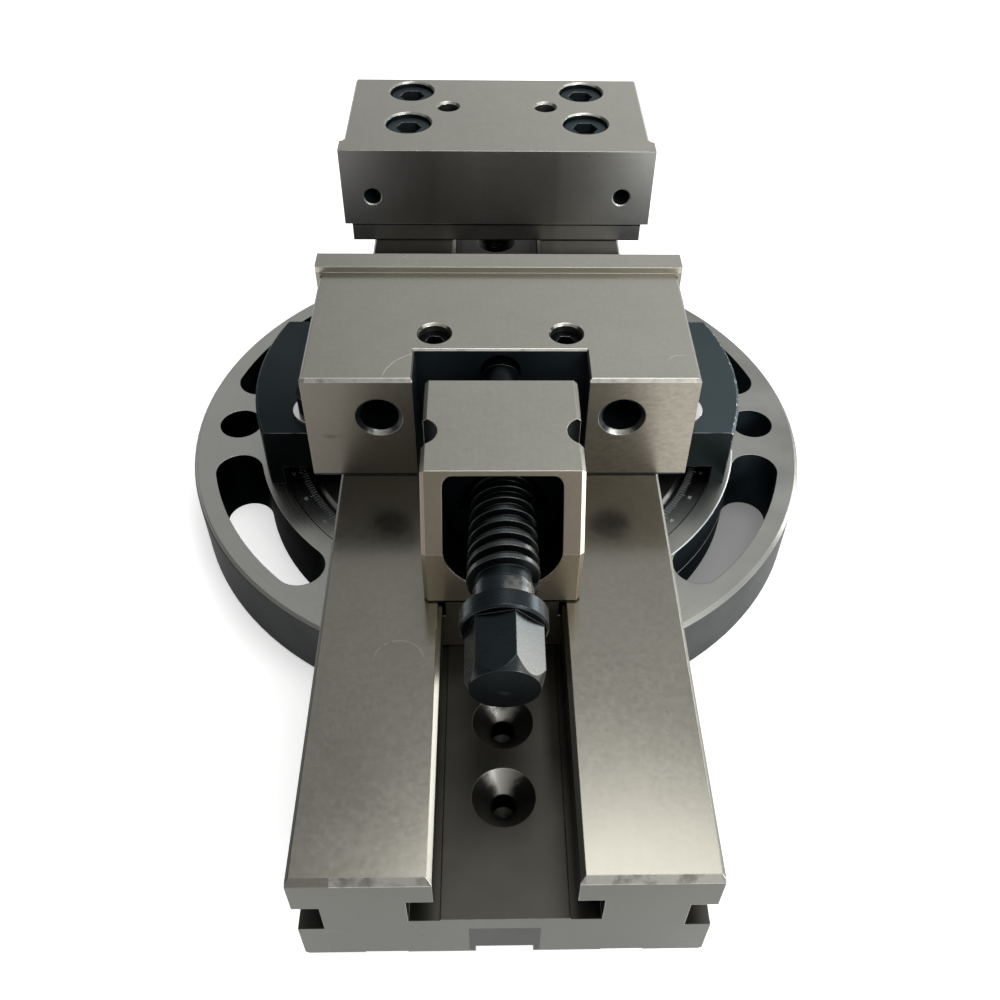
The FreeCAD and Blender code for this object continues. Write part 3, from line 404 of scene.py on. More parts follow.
def arc(f, middle, radius, first, last, width):
    """A thin curved mark on a level face, between two places along X, bowed to the back."""
    across, back = f.x - middle[0], f.y - middle[1]
    off = abs(across.away(back) - radius)
    patchy = f.noise(f.place, 420.0, 2.0).above(0.42, 0.12)
    span = f.x.above(first, 1.0 * MM) * f.x.below(last, 1.0 * MM) * f.y.above(middle[1])
    return off.below(width, width) * span * f.nz.above(0.9) * patchy


def seam(f, thickness=SEAM):
    """Dark line along the foot of a piece that stands on the bed."""
    return f.z.between(BED_TOP - 0.05 * MM, BED_TOP + thickness) * abs(f.nz).below(0.5)


def darkened(f, share, bright, dark, rough_bright, rough_dark, level=1.0):
    """Bright steel that turns into a darker one, made lighter by the level, where the share is 1."""
    cloud = f.noise(f.place, 60.0, 2.0)
    black = f.scaled(dark, (0.7 + 0.6 * cloud) * level)
    rough = rough_bright + (rough_dark + 0.08 * cloud - rough_bright) * share
    return f.mixed(share, bright, black), rough


def ground_steel(name, top, side, dark=None, share=None, rough=0.22, mottle=0.16, shade=None, dull=0.45,
                 deep=None, unworn=None):
    """Ground tops and milled sides: mottled grain, clouds, pits, hairlines, worn edges and dulled ones, the
    chamfers facing sideways darkened as painted shade.

    share is a function that gives the part of the surface left in the dark colour,
    shade one that gives how much lighter or darker a place is than its colour,
    deep one that does so for the dark colour, and unworn one that keeps the bright wear off."""
    f = Finish(name)
    grain = f.noise(f.stretched(900.0, 60.0, 900.0), 1.0, 2.0, 0.6)
    peel = f.noise(f.place, 560.0, 3.0, 0.65)
    speck = f.noise(f.place, 1700.0, 2.0, 0.7)
    cloud = f.noise(f.place, 16.0, 3.0)
    stain = f.noise(f.place, 90.0, 3.0, 0.6)
    pit, hair = pits_and_scratches(f)
    rounded, edge = f.edges()
    upright = f.nz.below(0.6, 0.2)
    level = 1.0 + grain.swing(0.05) + peel.swing(mottle) + speck.swing(0.10) + cloud.swing(0.14) \
        + stain.swing(0.10) - 0.45 * pit + 0.3 * hair
    if shade is not None:
        level = level * shade(f)
    # Painted shade: chamfers that face sideways are darker, those facing left most, and their wear is less
    # bright
    slope = f.nz.above(0.6, 0.1) * f.nz.below(0.88, 0.06)
    side_slope = slope * (abs(f.nx).above(0.5, 0.1) + f.ny.above(0.5, 0.1)).kept()
    level = level * (1 - 0.62 * side_slope * (f.nx.below(0.2) + 0.4).kept())
    steel = f.scaled(f.mixed(upright, top, side), level)
    worn = f.noise(f.place, 210.0, 3.0)
    front_slope = slope * (-f.ny).above(0.5, 0.1) * worn.above(0.42, 0.2)
    wear = (edge * (1 - 0.85 * side_slope) * (0.25 + 0.75 * worn) + 0.8 * front_slope).kept()
    if unworn is not None:
        wear = wear * (1 - unworn(f))
    steel = f.mixed(wear * 0.55, steel, WORN_JAW)
    roughness = rough + cloud.swing(0.12) + peel.swing(0.10) + 0.10 * pit - 0.06 * hair + 0.12 * upright
    if share is not None:
        level = 1.0 if deep is None else deep(f)
        steel, roughness = darkened(f, share(f) * (1 - 0.8 * wear), steel, dark, roughness, dull, level)
    height = grain * 0.4 + peel * 2.4 + speck * 0.6 - 2.5 * pit - 1.5 * hair
    f.set(Base_Color=steel, Roughness=roughness, Metallic=1.0, Normal=f.bump(height, 0.0022 * MM, rounded))
    return f


def turned_steel(name, base, rough=0.28, rim=None, walls=None):
    """Steel turned on a lathe about the swivel axis: fine rings, clouds and edges worn bright, with painted
    light and shade.

    rim and walls are functions that give the parts left in the rim's and the hollows' colour."""
    f = Finish(name)
    radius = f.x.away(f.y)
    safe = radius.at_least(1.0 * MM)
    cosine, sine = f.x / safe, f.y / safe
    rings = f.noise(f.vector(radius * 1900.0, cosine * 2.5, sine * 2.5), 1.0, 2.0, 0.6)
    sheen = f.noise(f.vector(radius * 30.0, cosine * 5.0, sine * 5.0), 1.0, 2.0)
    cloud = f.noise(f.place, 14.0, 3.0)
    stain = f.noise(f.place, 70.0, 3.0, 0.6)
    speck = f.noise(f.place, 1500.0, 1.0, 0.6)
    pit, hair = pits_and_scratches(f)
    hair = hair * f.nz.above(0.5)
    rounded, edge = f.edges()
    # Painted light: lighter towards the left, and a painted sheen in streaks that grows towards the right
    level = 1.0 + rings.swing(0.05) + cloud.swing(0.20) + stain.swing(0.12) + speck.swing(0.08) \
        + sheen.swing((0.25 + 3.0 * f.x).at_least(0.0)) - 0.4 * pit + 0.4 * hair - 1.9 * f.x
    # Painted shade on chamfers, darker where they face left
    slope = f.nz.above(0.4, 0.1) * f.nz.below(0.93, 0.04)
    level = level * (1 - 0.4 * slope * (0.35 - f.nx).kept())
    if rim is not None:
        level = level * (1 - 0.85 * chamfer_foot(f, radius))
    steel = f.scaled(base, level)
    # Edges worn bright, and brighter where they face right as a painted highlight
    wear = edge * (0.35 + 0.65 * f.noise(f.place, 190.0, 2.0)) * (f.nx * 0.6 + 0.6).kept()
    steel = f.mixed(wear * 0.5, steel, WORN_RING)
    roughness = rough + rings.swing(0.08) + cloud.swing(0.10) - 0.1 * hair
    if rim is not None:
        c = colours()
        # The rim's dark colour with painted shade on the left and painted light on the right, the hollows'
        # dark colour painted lighter to the right, and painted highlights on the ledge and lip
        steel, roughness = darkened(f, rim(f) * (1 - 0.8 * wear), steel, c.rim, roughness, 0.40,
                                    1 + 4.0 * f.x)
        steel, roughness = darkened(f, walls(f) * (1 - 0.8 * wear), steel, c.hollow, roughness, 0.55,
                                    (1 + 12.0 * f.x).at_least(0.12))
        steel = f.mixed(ledge_lines(f, radius), steel, LEDGE_GLINT)
    height = rings * 0.8 + speck * 0.4 - 2.0 * pit - hair
    f.set(Base_Color=steel, Roughness=roughness, Metallic=1.0, Anisotropic=0.55, Anisotropic_Rotation=0.25,
          Specular_Tint=(0.5, 0.5, 0.5), Normal=f.bump(height, 0.0002 * MM, rounded))
    return f


def chamfer_foot(f, radius):
    """Thin line of painted shade where the ring's outer chamfer meets its wall, on the left."""
    line = abs(f.z - (RING_HIGH.z - 1.5 * MM)).below(0.25 * MM, 0.2 * MM)
    return line * radius.above(RING_HIGH.x - 1.9 * MM) * f.nx.below(0.1, 0.3)


def ledge_lines(f, radius):
    """Painted highlights on the edges of the ledge in the right clamping slots and of their inner lip."""
    ledge = abs(f.z - LEDGE_Z).below(0.35 * MM, 0.1 * MM) * abs(f.nz).below(0.3) * radius.between(*LEDGE_R)
    tilt = abs(f.y) / f.x.at_least(1.0 * MM)
    lip = abs(radius - LIP_R).below(0.3 * MM, 0.2 * MM) * f.nz.above(0.9) * tilt.between(*LIP_TILT)
    return (ledge + lip) * f.x.above(0.0)


def black_finish(name, base, rough=0.42, knurl=None, shade=None, nicked=None, rubbed=0.5):
    """Blackened steel with faint mottling, rubbed brighter on its edges and nicked bare where told."""
    f = Finish(name)
    fine = f.noise(f.place, 1300.0, 2.0, 0.6)
    cloud = f.noise(f.place, 38.0, 3.0)
    pit, hair = pits_and_scratches(f)
    rounded, edge = f.edges()
    level = 0.72 + 0.25 * fine + 0.30 * cloud + 1.2 * hair
    if shade is not None:
        level = level * shade(f)
    rub = edge * f.noise(f.place, 260.0, 2.0).above(0.42, 0.16) * rubbed
    body = f.mixed(rub, f.scaled(base, level), RUBBED_BLACK)
    if nicked is not None:
        nick = edge.above(0.2) * f.noise(f.place, 300.0, 2.0).above(0.57, 0.04) * nicked(f)
        body = f.mixed(nick, body, BARE_NICK)
    height = fine * 0.7 - pit * 1.5
    if knurl is not None:
        height = height + knurl(f) * 60.0
    f.set(Base_Color=body, Metallic=0.92, Roughness=rough + cloud.swing(0.12) + fine.swing(0.14) - 0.16 * rub,
          Specular_Tint=(0.4, 0.42, 0.44), Normal=f.bump(height, 0.0028 * MM, rounded))
    return f


def engraved_finish():
    """Light filled lines, a little uneven as an engraver leaves them."""
    f = Finish(ENGRAVED)
    worn = f.noise(f.place, 900.0, 2.0)
    f.set(Base_Color=f.scaled(colours().engraved, 0.65 + 0.6 * worn), Metallic=0.0,
          Roughness=0.60 + worn.swing(0.2))
    return f


def head_knurl(f):
    """Upright ribs round the heads of the clamp bolts."""
    x = abs(f.x) - (BOLT_HIGH.x - BOLT_HEAD_R)
    y = abs(f.y) - (BOLT_HIGH.y - BOLT_HEAD_R)
    ribs = abs((f.maths("ARCTAN2", y, x) * 30.0).sum("SINE"))
    on_side = x.away(y).above(BOLT_HEAD_R - 0.2 * MM) * abs(f.nz).below(0.3)
    return ribs * on_side * f.z.below(BOLT_HIGH.z - 1.2 * MM)


def nodes(names):
    """The CAD pieces of a list of names."""
    return [NODES[name] for name in names.split()]


def deselect():
    """Leave edit mode and select nothing."""
    if bpy.context.object is not None and bpy.context.object.mode != "OBJECT":
        bpy.ops.object.mode_set(mode="OBJECT")
    bpy.ops.object.select_all(action="DESELECT")


def named(name):
    """The active object, with its mesh, under a name."""
    made = bpy.context.object
    made.name = made.data.name = name
    return made


def settled(name):
    """The new object, named, with its place taken into its mesh."""
    bpy.ops.object.transform_apply(location=True, rotation=True, scale=True)
    return named(name)


def joined(pieces, name):
    """One object made of several."""
    deselect()
    for piece in pieces:
        piece.select_set(True)
    bpy.context.view_layer.objects.active = pieces[0]
    bpy.ops.object.join()
    return named(name)


def engraved(piece):
    """Give lines or numerals of the scale their one finish, and carry them on the base ring."""
    if ENGRAVED not in bpy.data.materials:
        engraved_finish()
    piece.data.materials.clear()
    piece.data.materials.append(bpy.data.materials[ENGRAVED])
    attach(piece, "base")


class VISE_OT_bed(bpy.types.Operator):
    """Finish the bed: ground rails, darker slot, milled ends, with painted light and shade"""
    bl_idname = "vise.bed"
    bl_label = "Bed"

    def execute(self, context):
        c = colours()

        def in_slot(f):
            slot = abs(f.x).below(SLOT_HALF) * f.z.below(SLOT_MOUTH_Z)
            groove = abs(f.x).between(*GROOVE_X) * f.z.between(*GROOVE_Z)
            return (slot + groove).kept() * abs(f.ny).below(0.75)

        def shade(f):
            # Painted shade below the cones, meant for the drilled holes; painted light on the cones and the
            # slot's lips; a painted shadow on the slot between the jaws; painted shade on the front left
            # edge; and a faint curved mark on the rail
            drilled = abs(f.x).below(CONE_R + 0.4 * MM) * f.z.between(BED_LOW.z + 1.0 * MM, CONE_FOOT_Z)
            cones = abs(f.x).below(CONE_R) * f.z.below(SLOT_FLOOR_Z) * abs(f.nz).between(0.3, 0.9)
            lip = abs(f.nx).above(0.8) * f.z.between(*SLOT_LIP_Z)
            shadow_between_jaws = abs(f.x).below(30.0 * MM) * f.z.below(SLOT_MOUTH_Z) \
                * f.y.between(-12.0 * MM, BED_HIGH.y - 2.0 * MM)
            shaded_left_edge = (-f.nx).above(0.3) * f.nz.above(0.3) * far_left(f)
            mark = arc(f, *RAIL_MARK)
            return (1 - 0.9 * drilled + 0.05 * cones + 0.8 * lip - 0.55 * shadow_between_jaws + 0.25 * mark) \
                * (1 - 0.7 * shaded_left_edge)

        def far_left(f):
            # The bed's front left part, where the edge gets painted shade and no bright wear
            return f.x.below(-50.0 * MM) * f.y.below(-70.0 * MM, 30.0 * MM)

        def deep(f):
            # Painted shadow on the slot's floor to the right, beside the hexagon
            right_floor = f.x.above(15.0 * MM, 4.0 * MM) * f.z.below(BED_TOP - 24.0 * MM) * f.nz.above(0.9)
            by_hexagon = f.y.above(-208.0 * MM, 22.0 * MM) * f.y.below(BLOCK_LOW.y, 4.0 * MM)
            return 1 - 0.6 * right_floor * by_hexagon

        ground_steel("Ground bed", c.rail, c.bed_side, c.slot, in_slot, 0.21, mottle=0.24, shade=shade,
                     dull=0.36, deep=deep, unworn=far_left).cover(NODES["bed"])
        return {"FINISHED"}


class VISE_OT_jaws(bpy.types.Operator):
    """Finish the two jaws, with the moving jaw's pocket left in black oxide"""
    bl_idname = "vise.jaws"
    bl_label = "Jaws"

    def execute(self, context):
        self.moving_jaw()
        self.fixed_jaw()
        return {"FINISHED"}

    def moving_jaw(self):
        c = colours()

        def hollow(f):
            pocket = abs(f.x).below(POCKET_HALF) * f.y.below(JAW_LOW.y + POCKET_DEEP) * f.nz.below(0.3)
            off = (abs(f.x) - REAR_BORE_X).away(f.z - FACE_HOLE_Z)
            bore = off.below(REAR_BORE_R) * f.y.below(JAW_LOW.y + 50.0 * MM)
            mouth = off.below(REAR_MOUTH_R) * f.y.below(JAW_LOW.y + 1.6 * MM) * abs(f.ny).below(0.85)
            off = (abs(f.x) - PLUG_X).away(f.y - (JAW_HIGH.y - PLUG_FROM_PLATE))
            plug = off.below(PLUG_R) * f.z.below(JAW_HIGH.z - 6.0 * MM)
            return (pocket + bore + 0.88 * mouth + plug + seam(f)).kept()

        def shade(f):
            # Painted light on the plate's back, the rear face painted lighter to the right and darker to the
            # left, and painted shade on the side chamfers; the smudge and the curved mark are real marks
            lit_plate_back = f.z.above(JAW_HIGH.z - 2.8 * MM) * (-f.ny).above(0.5)
            rear = f.y.below(JAW_LOW.y + 1.0 * MM) * (-f.ny).above(0.5)
            left = (0.5 - 8.0 * f.x).kept()
            grainy = 0.30 + f.noise(f.stretched(300.0, 300.0, 620.0), 1.0, 3.0, 0.7).swing(0.9)
            smudge = abs(f.x + 63.7 * MM).below(3.0 * MM, 2.5 * MM) \
                * abs(f.z - (BED_TOP + 20.0 * MM)).below(0.9 * MM, 1.0 * MM) \
                * f.noise(f.place, 500.0, 2.0).above(0.48, 0.1)
            shaded_side_edge = abs(f.nx).above(0.5, 0.1) * f.nz.above(0.4)
            return (1 + 0.7 * lit_plate_back + rear * (grainy - (grainy + 0.35) * left - 0.2 * smudge)) \
                * (1 - 0.75 * shaded_side_edge) + 1.2 * arc(f, *JAW_MARK)

        def deep(f):
            return 2.2 + 1.3 * abs(f.x).below(33.0 * MM)

        ground_steel("Ground moving jaw", c.jaw, c.jaw_side, c.hollow, hollow, 0.24, shade=shade,
                     deep=deep, unworn=self.sides).cover(NODES["moving_jaw"])

    def fixed_jaw(self):
        c = colours()

        def hollow(f):
            row = abs(f.y - FIX_BOLT_Y) - FIX_BOLT_ROW
            bolts = (abs(f.x) - FIX_BOLT_X).away(row).below(FIX_BOLT_R)
            taps = (abs(f.x) - TOP_HOLE_X).away(f.y - TOP_HOLE_Y).below(TOP_HOLE_R) * 0.5
            face_taps = (abs(f.x) - FACE_HOLE_X).away(f.z - FACE_HOLE_Z).below(FACE_HOLE_R) \
                * f.ny.above(-0.6) * f.y.below(FIXED_LOW.y + FACE_HOLE_DEEP)
            # Painted shadow: a dark line on the body's front just under the plate
            shadow_under_plate = f.y.between(FIXED_LOW.y + 9.5 * MM, FIXED_LOW.y + 11.0 * MM) \
                * f.z.above(BED_TOP + 8.3 * MM) * (-f.ny).above(0.5)
            return ((bolts + taps) * f.nz.below(0.7) + face_taps + shadow_under_plate + seam(f, 0.5 * MM)).kept()

        def shade(f):
            # Painted reflection in bands on the front face: darker to the left, lighter from the middle to
            # the right
            lit = f.x.above(-20.0 * MM, 22.0 * MM) - 0.45 * f.x.above(16.0 * MM, 24.0 * MM) \
                + 0.3 * f.x.above(29.5 * MM, 3.0 * MM)
            return 1 + (-f.ny).above(0.5) * (lit - 0.13)

        def deep(f):
            return 2.0 + 5.0 * f.z.below(BED_TOP + 35.0 * MM) * abs(f.ny).below(0.5)

        ground_steel("Ground fixed jaw", c.jaw, c.fixed_side, c.hollow, hollow, 0.24, shade=shade,
                     deep=deep, unworn=self.sides).cover(NODES["fixed_jaw"])

    def sides(self, f):
        """The jaws' side faces and what borders them."""
        return abs(f.x).above(JAW_SIDE - 2.0 * MM)


class VISE_OT_screw_block(bpy.types.Operator):
    """Finish the screw block, with its hollow and finger notches in black oxide, the notches darker still as
    painted shade
    """
    bl_idname = "vise.screw_block"
    bl_label = "Screw block"

    def execute(self, context):
        c = colours()

        def hollow(f):
            inside = abs(f.x).below(HOLLOW_HALF) * f.z.between(BED_TOP + 2.0 * MM, BLOCK_HIGH.z - 1.0 * MM) \
                * f.y.between(BLOCK_LOW.y + 0.15 * MM, BLOCK_HIGH.y - 0.2 * MM)
            slope_face = abs(f.ny + 0.868).below(0.05) * f.nz.above(0.2)
            notch = (abs(f.x) - NOTCH_X).away(f.y - NOTCH_Y).below(NOTCH_R) * f.nz.below(0.5)
            return (inside * (1 - slope_face) + notch + seam(f)).kept()

        def shade(f):
            # Painted light and shade on the front: the upright part lighter, less so on the tongue below the
            # bed's top, the slope darker, and a painted highlight on the right front chamfer
            front = (-f.ny).above(0.5)
            upright = f.nz.below(0.25)
            tongue = upright * f.z.below(BED_TOP)
            corner = f.nx.between(0.5, 0.9) * (-f.ny).above(0.3) * f.nz.above(0.2)
            return 1 + front * (1.6 * upright - 0.22 - 1.0 * tongue) + 4.0 * corner

        def deep(f):
            # The black of the hollow, darker still outside it, as in the finger notches, as painted shade
            return 0.35 - 0.15 * abs(f.x).above(HOLLOW_HALF + 0.1 * MM)

        def unworn(f):
            return abs(f.x).below(HOLLOW_HALF - 0.4 * MM) * f.y.above(BLOCK_LOW.y + 15.0 * MM) \
                * f.z.below(BLOCK_HIGH.z - 2.0 * MM)

        ground_steel("Ground block", c.jaw, c.block_side, c.hollow, hollow, 0.24, shade=shade, dull=0.6,
                     deep=deep, unworn=unworn).cover(NODES["screw_block"])
        return {"FINISHED"}


class VISE_OT_swivel_base(bpy.types.Operator):
    """Finish the base ring, turntable, thrust ring and keeper plate"""
    bl_idname = "vise.swivel_base"
    bl_label = "Swivel base"

    def execute(self, context):
        c = colours()

        def rim(f):
            return f.x.away(f.y).above(RING_HIGH.x - 1.5 * MM) * f.nz.below(0.4)

        def walls(f):
            radius = f.x.away(f.y)
            step = abs(radius - RING_BORE_R).below(0.35 * MM)
            return (radius.between(*SLOT_WALLS_R) * f.nz.below(0.25) + step).kept()

        turned_steel("Turned ring", c.turned, rim=rim, walls=walls).cover(NODES["base_ring"])
        turned_steel("Turned table", c.turned, 0.30).cover(*nodes("turntable keeper_plate"))
        turned_steel("Bronze thrust ring", c.bronze).cover(NODES["thrust_ring"])
        return {"FINISHED"}


class VISE_OT_clamps(bpy.types.Operator):
    """Finish the two side clamps in blue-black oxide"""
    bl_idname = "vise.clamps"
    bl_label = "Clamps"

    def execute(self, context):
        def shade(f):
            # Painted shade and light: front faces darker, the left clamp's most; the right clamp's top
            # lighter, the left one's darker towards the front
            front = (-f.ny).above(0.5)
            left = (0.5 - 20.0 * f.x).kept()
            right = 1 - left
            top = f.nz.above(0.7)
            fore = f.y.below(-5.0 * MM, 50.0 * MM)
            return 1 - front * (0.85 * left + 0.15 * right) + top * (0.6 * right - 0.5 * left * fore)

        def nicked(f):
            return f.x.above(0.0) * f.x.away(f.y).above(CLAMP_R - 2.5 * MM)

        black_finish("Clamp oxide", colours().oxide, 0.40, shade=shade, nicked=nicked) \
            .cover(*nodes("left_clamp right_clamp"))
        return {"FINISHED"}


class VISE_OT_fasteners(bpy.types.Operator):
    """Finish the bolts, screws, washers, keys, pins and the locating plunger"""
    bl_idname = "vise.fasteners"
    bl_label = "Fasteners"

    def execute(self, context):
        c = colours()
        black_finish("Blackened bolts", c.screw, 0.36, head_knurl).cover(NODES["clamp_bolts"])
        black_finish("Blackened screws", c.screw, 0.30) \
            .cover(*nodes("jaw_plug_screws keeper_screws bed_key_screws guide_screws"))
        black_finish("Phosphated bolts", c.phosphate, 0.38).cover(NODES["fixed_jaw_bolts"])
        black_finish("Zinc washers", c.zinc, 0.22).cover(NODES["clamp_washers"])
        black_finish("Plunger cap", c.dark_steel, 0.30).cover(NODES["plunger_cap"])
        ground_steel("Hardened keys", c.jaw, c.jaw_side, rough=0.26) \
            .cover(*nodes("bed_key_front bed_key_rear jaw_guide locating_plunger fixed_jaw_dowels cup_pins"))
        return {"FINISHED"}


class VISE_OT_plunger_spring(bpy.types.Operator):
    """Wind the plunger's spring in place of its CAD piece"""
    bl_idname = "vise.plunger_spring"
    bl_label = "Plunger spring"

    def execute(self, context):
        s = sizes()
        low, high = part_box("plunger_spring")
        coil_r = (high.x - low.x) / 2 - s.spring_wire
        middle = (low + high) / 2
        deselect()
        bpy.ops.mesh.primitive_circle_add(vertices=6, radius=s.spring_wire, location=(coil_r, 0.0, 0.0),
                                          rotation=(math.pi / 2, 0.0, 0.0))
        coil = settled("plunger_coil")
        bpy.ops.object.modifier_add(type="SCREW")
        winding = coil.modifiers[-1]
        winding.screw_offset = (high.z - low.z - 2 * s.spring_wire) / s.spring_turns
        winding.iterations = s.spring_turns
        winding.steps = winding.render_steps = 20
        bpy.ops.object.modifier_apply(modifier=winding.name)
        bpy.ops.object.mode_set(mode="EDIT")
        bpy.ops.mesh.select_all(action="SELECT")
        bpy.ops.mesh.fill_holes(sides=0)
        bpy.ops.mesh.normals_make_consistent(inside=False)
        bpy.ops.object.mode_set(mode="OBJECT")
        coil.data.transform(Matrix.Translation((middle.x, middle.y, low.z + s.spring_wire)))
        black_finish("Spring wire", colours().dark_steel, 0.30).cover(coil)
        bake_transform(coil)
        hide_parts("plunger_spring")
        return {"FINISHED"}


class VISE_OT_spindle(bpy.types.Operator):
    """Finish the spindle: dark roots, rubbed thread lands, worn collar and hexagon, the hexagon's right face
    brightened partly as a painted highlight and its end darkened as painted shade
    """
    bl_idname = "vise.spindle"
    bl_label = "Spindle"

    def execute(self, context):
        c = colours()
        f = Finish("Spindle steel")
        along, radius = self.round_spindle(f)
        hexagon = along.below(HEXAGON_END)
        collar = along.between(HEXAGON_END, COLLAR_END)
        neck_wear_and_highlight = along.between(COLLAR_END, THREAD_START) * f.nx.above(0.1, 0.4)
        threaded = along.between(THREAD_START, THREAD_END)
        shank = along.above(THREAD_END)
        root = threaded * radius.below(THREAD_ROOT_R, 1.4 * MM)
        land = threaded * radius.above(THREAD_LAND_R, 0.5 * MM)
        right_face_highlight = hexagon * f.nx.above(0.3, 0.1)
        shaded_end_face = hexagon * (-f.ny).above(0.6, 0.15) * f.nx.below(0.35, 0.1)
        fine = f.noise(f.vector(along * 2600.0, radius * 300.0, f.x * 60.0), 1.0, 2.0, 0.6)
        speck = f.noise(f.place, 1500.0, 2.0, 0.7)
        cloud = f.noise(f.place, 55.0, 3.0)
        rust = f.noise(f.place, 150.0, 3.0, 0.65)
        pit, hair = pits_and_scratches(f)
        rounded, edge = f.edges()
        # Rubbed lands and edges are wear; the hexagon's right face and the neck's right side also take the
        # crest colour as a painted highlight
        rubbed = land * (0.05 + 0.22 * cloud) + edge * (0.5 + 0.4 * collar) * rust \
            + right_face_highlight * (0.02 + 0.20 * cloud + 13.0 * (HEXAGON_END - along)) \
            + neck_wear_and_highlight * rust.above(0.50, 0.2) * 0.7
        # The hexagon's end is darker where it faces front and left, as painted shade
        level = 0.72 + 0.3 * fine + 0.25 * speck + 0.25 * cloud - 0.5 * pit + 0.8 * hair \
            - 0.55 * root - 0.35 * collar - 0.22 * hexagon - 0.46 * shaded_end_face - 0.75 * shank
        height = fine * 0.8 + speck * 0.9 - pit * 2.0
        f.set(Base_Color=f.scaled(f.mixed(rubbed.kept(), c.dark_steel, c.crest), level), Metallic=1.0,
              Roughness=0.27 + cloud.swing(0.16) + speck.swing(0.14) + 0.12 * root + 0.25 * shaded_end_face,
              Normal=f.bump(height, 0.003 * MM, rounded))
        f.cover(NODES["spindle"])
        black_finish("Thrust cup", c.screw, 0.34, rubbed=0.12).cover(NODES["thrust_cup"])
        return {"FINISHED"}

    def round_spindle(self, f):
        """How far a place lies along the spindle and off its axis."""
        arm = f.vector_maths("SUBTRACT", f.place, SPINDLE_AT)
        along = f.vector_maths("DOT_PRODUCT", arm, SPINDLE_ALONG, result="Value")
        foot = f.node("ShaderNodeVectorMath", {"operation": "SCALE"}, Vector=SPINDLE_ALONG, Scale=along)
        off = f.vector_maths("SUBTRACT", arm, foot.outputs["Vector"])
        return Field(f, along), Field(f, f.vector_maths("LENGTH", off, result="Value"))


class VISE_OT_degree_scale(bpy.types.Operator):
    """Engrave the degree ticks round the ring's inner band"""
    bl_idname = "vise.degree_scale"
    bl_label = "Degree scale"

    def execute(self, context):
        s = sizes()
        ticks = []
        for span, degrees in ((s.tick_short, [d for d in range(360) if d % 5]),
                              (s.tick_middle, range(5, 360, 10)),
                              (s.tick_long, range(0, 360, 10))):
            first = self.tick(span)
            for degree in degrees:
                copy = first.copy()
                copy.data = first.data.copy()
                copy.data.transform(Matrix.Rotation(math.radians(degree), 4, "Z"))
                context.collection.objects.link(copy)
                ticks.append(copy)
            bpy.data.objects.remove(first)
        engraved(joined(ticks, "degree_scale"))
        return {"FINISHED"}

    def tick(self, span):
        """A filled line on the X axis, its upper edges broken."""
        s = sizes()
        deselect()
        bpy.ops.mesh.primitive_cube_add(
            size=1.0, location=(s.tick_inner + span / 2, 0.0, BAND_Z + s.engraving / 2),
            scale=(span, s.tick_width, s.engraving))
        made = settled("tick")
        bpy.ops.object.mode_set(mode="EDIT")
        bpy.ops.mesh.select_all(action="SELECT")
        bpy.ops.mesh.bevel(offset=s.engraving * 0.4, segments=1, affect="EDGES")
        bpy.ops.object.mode_set(mode="OBJECT")
        return made


class VISE_OT_degree_numbers(bpy.types.Operator):
    """Engrave a numeral at every ten degrees of the scale"""
    bl_idname = "vise.degree_numbers"
    bl_label = "Degree numerals"

    def execute(self, context):
        engraved(joined([self.numeral(degree) for degree in range(0, 360, 10)], "degree_numerals"))
        return {"FINISHED"}

    def numeral(self, degree):
        """The number of a place on the scale, which counts from 0 to 90 and back."""
        s = sizes()
        shown = min(degree % 180, 180 - degree % 180)
        deselect()
        bpy.ops.object.text_add(location=(0.0, 0.0, 0.0))
        text = bpy.context.object.data
        text.body = str(shown)
        text.size = s.numeral_height
        text.align_x = text.align_y = "CENTER"
        text.extrude = s.engraving / 2
        text.resolution_u = 3
        bpy.ops.object.convert(target="MESH")
        made = bpy.context.object
        outward = Matrix.Translation((s.numeral_radius, 0.0, BAND_Z + s.engraving / 2)) \
            @ Matrix.Rotation(math.radians(90.0), 4, "Z")
        made.data.transform(Matrix.Rotation(math.radians(degree), 4, "Z") @ outward)
        return made


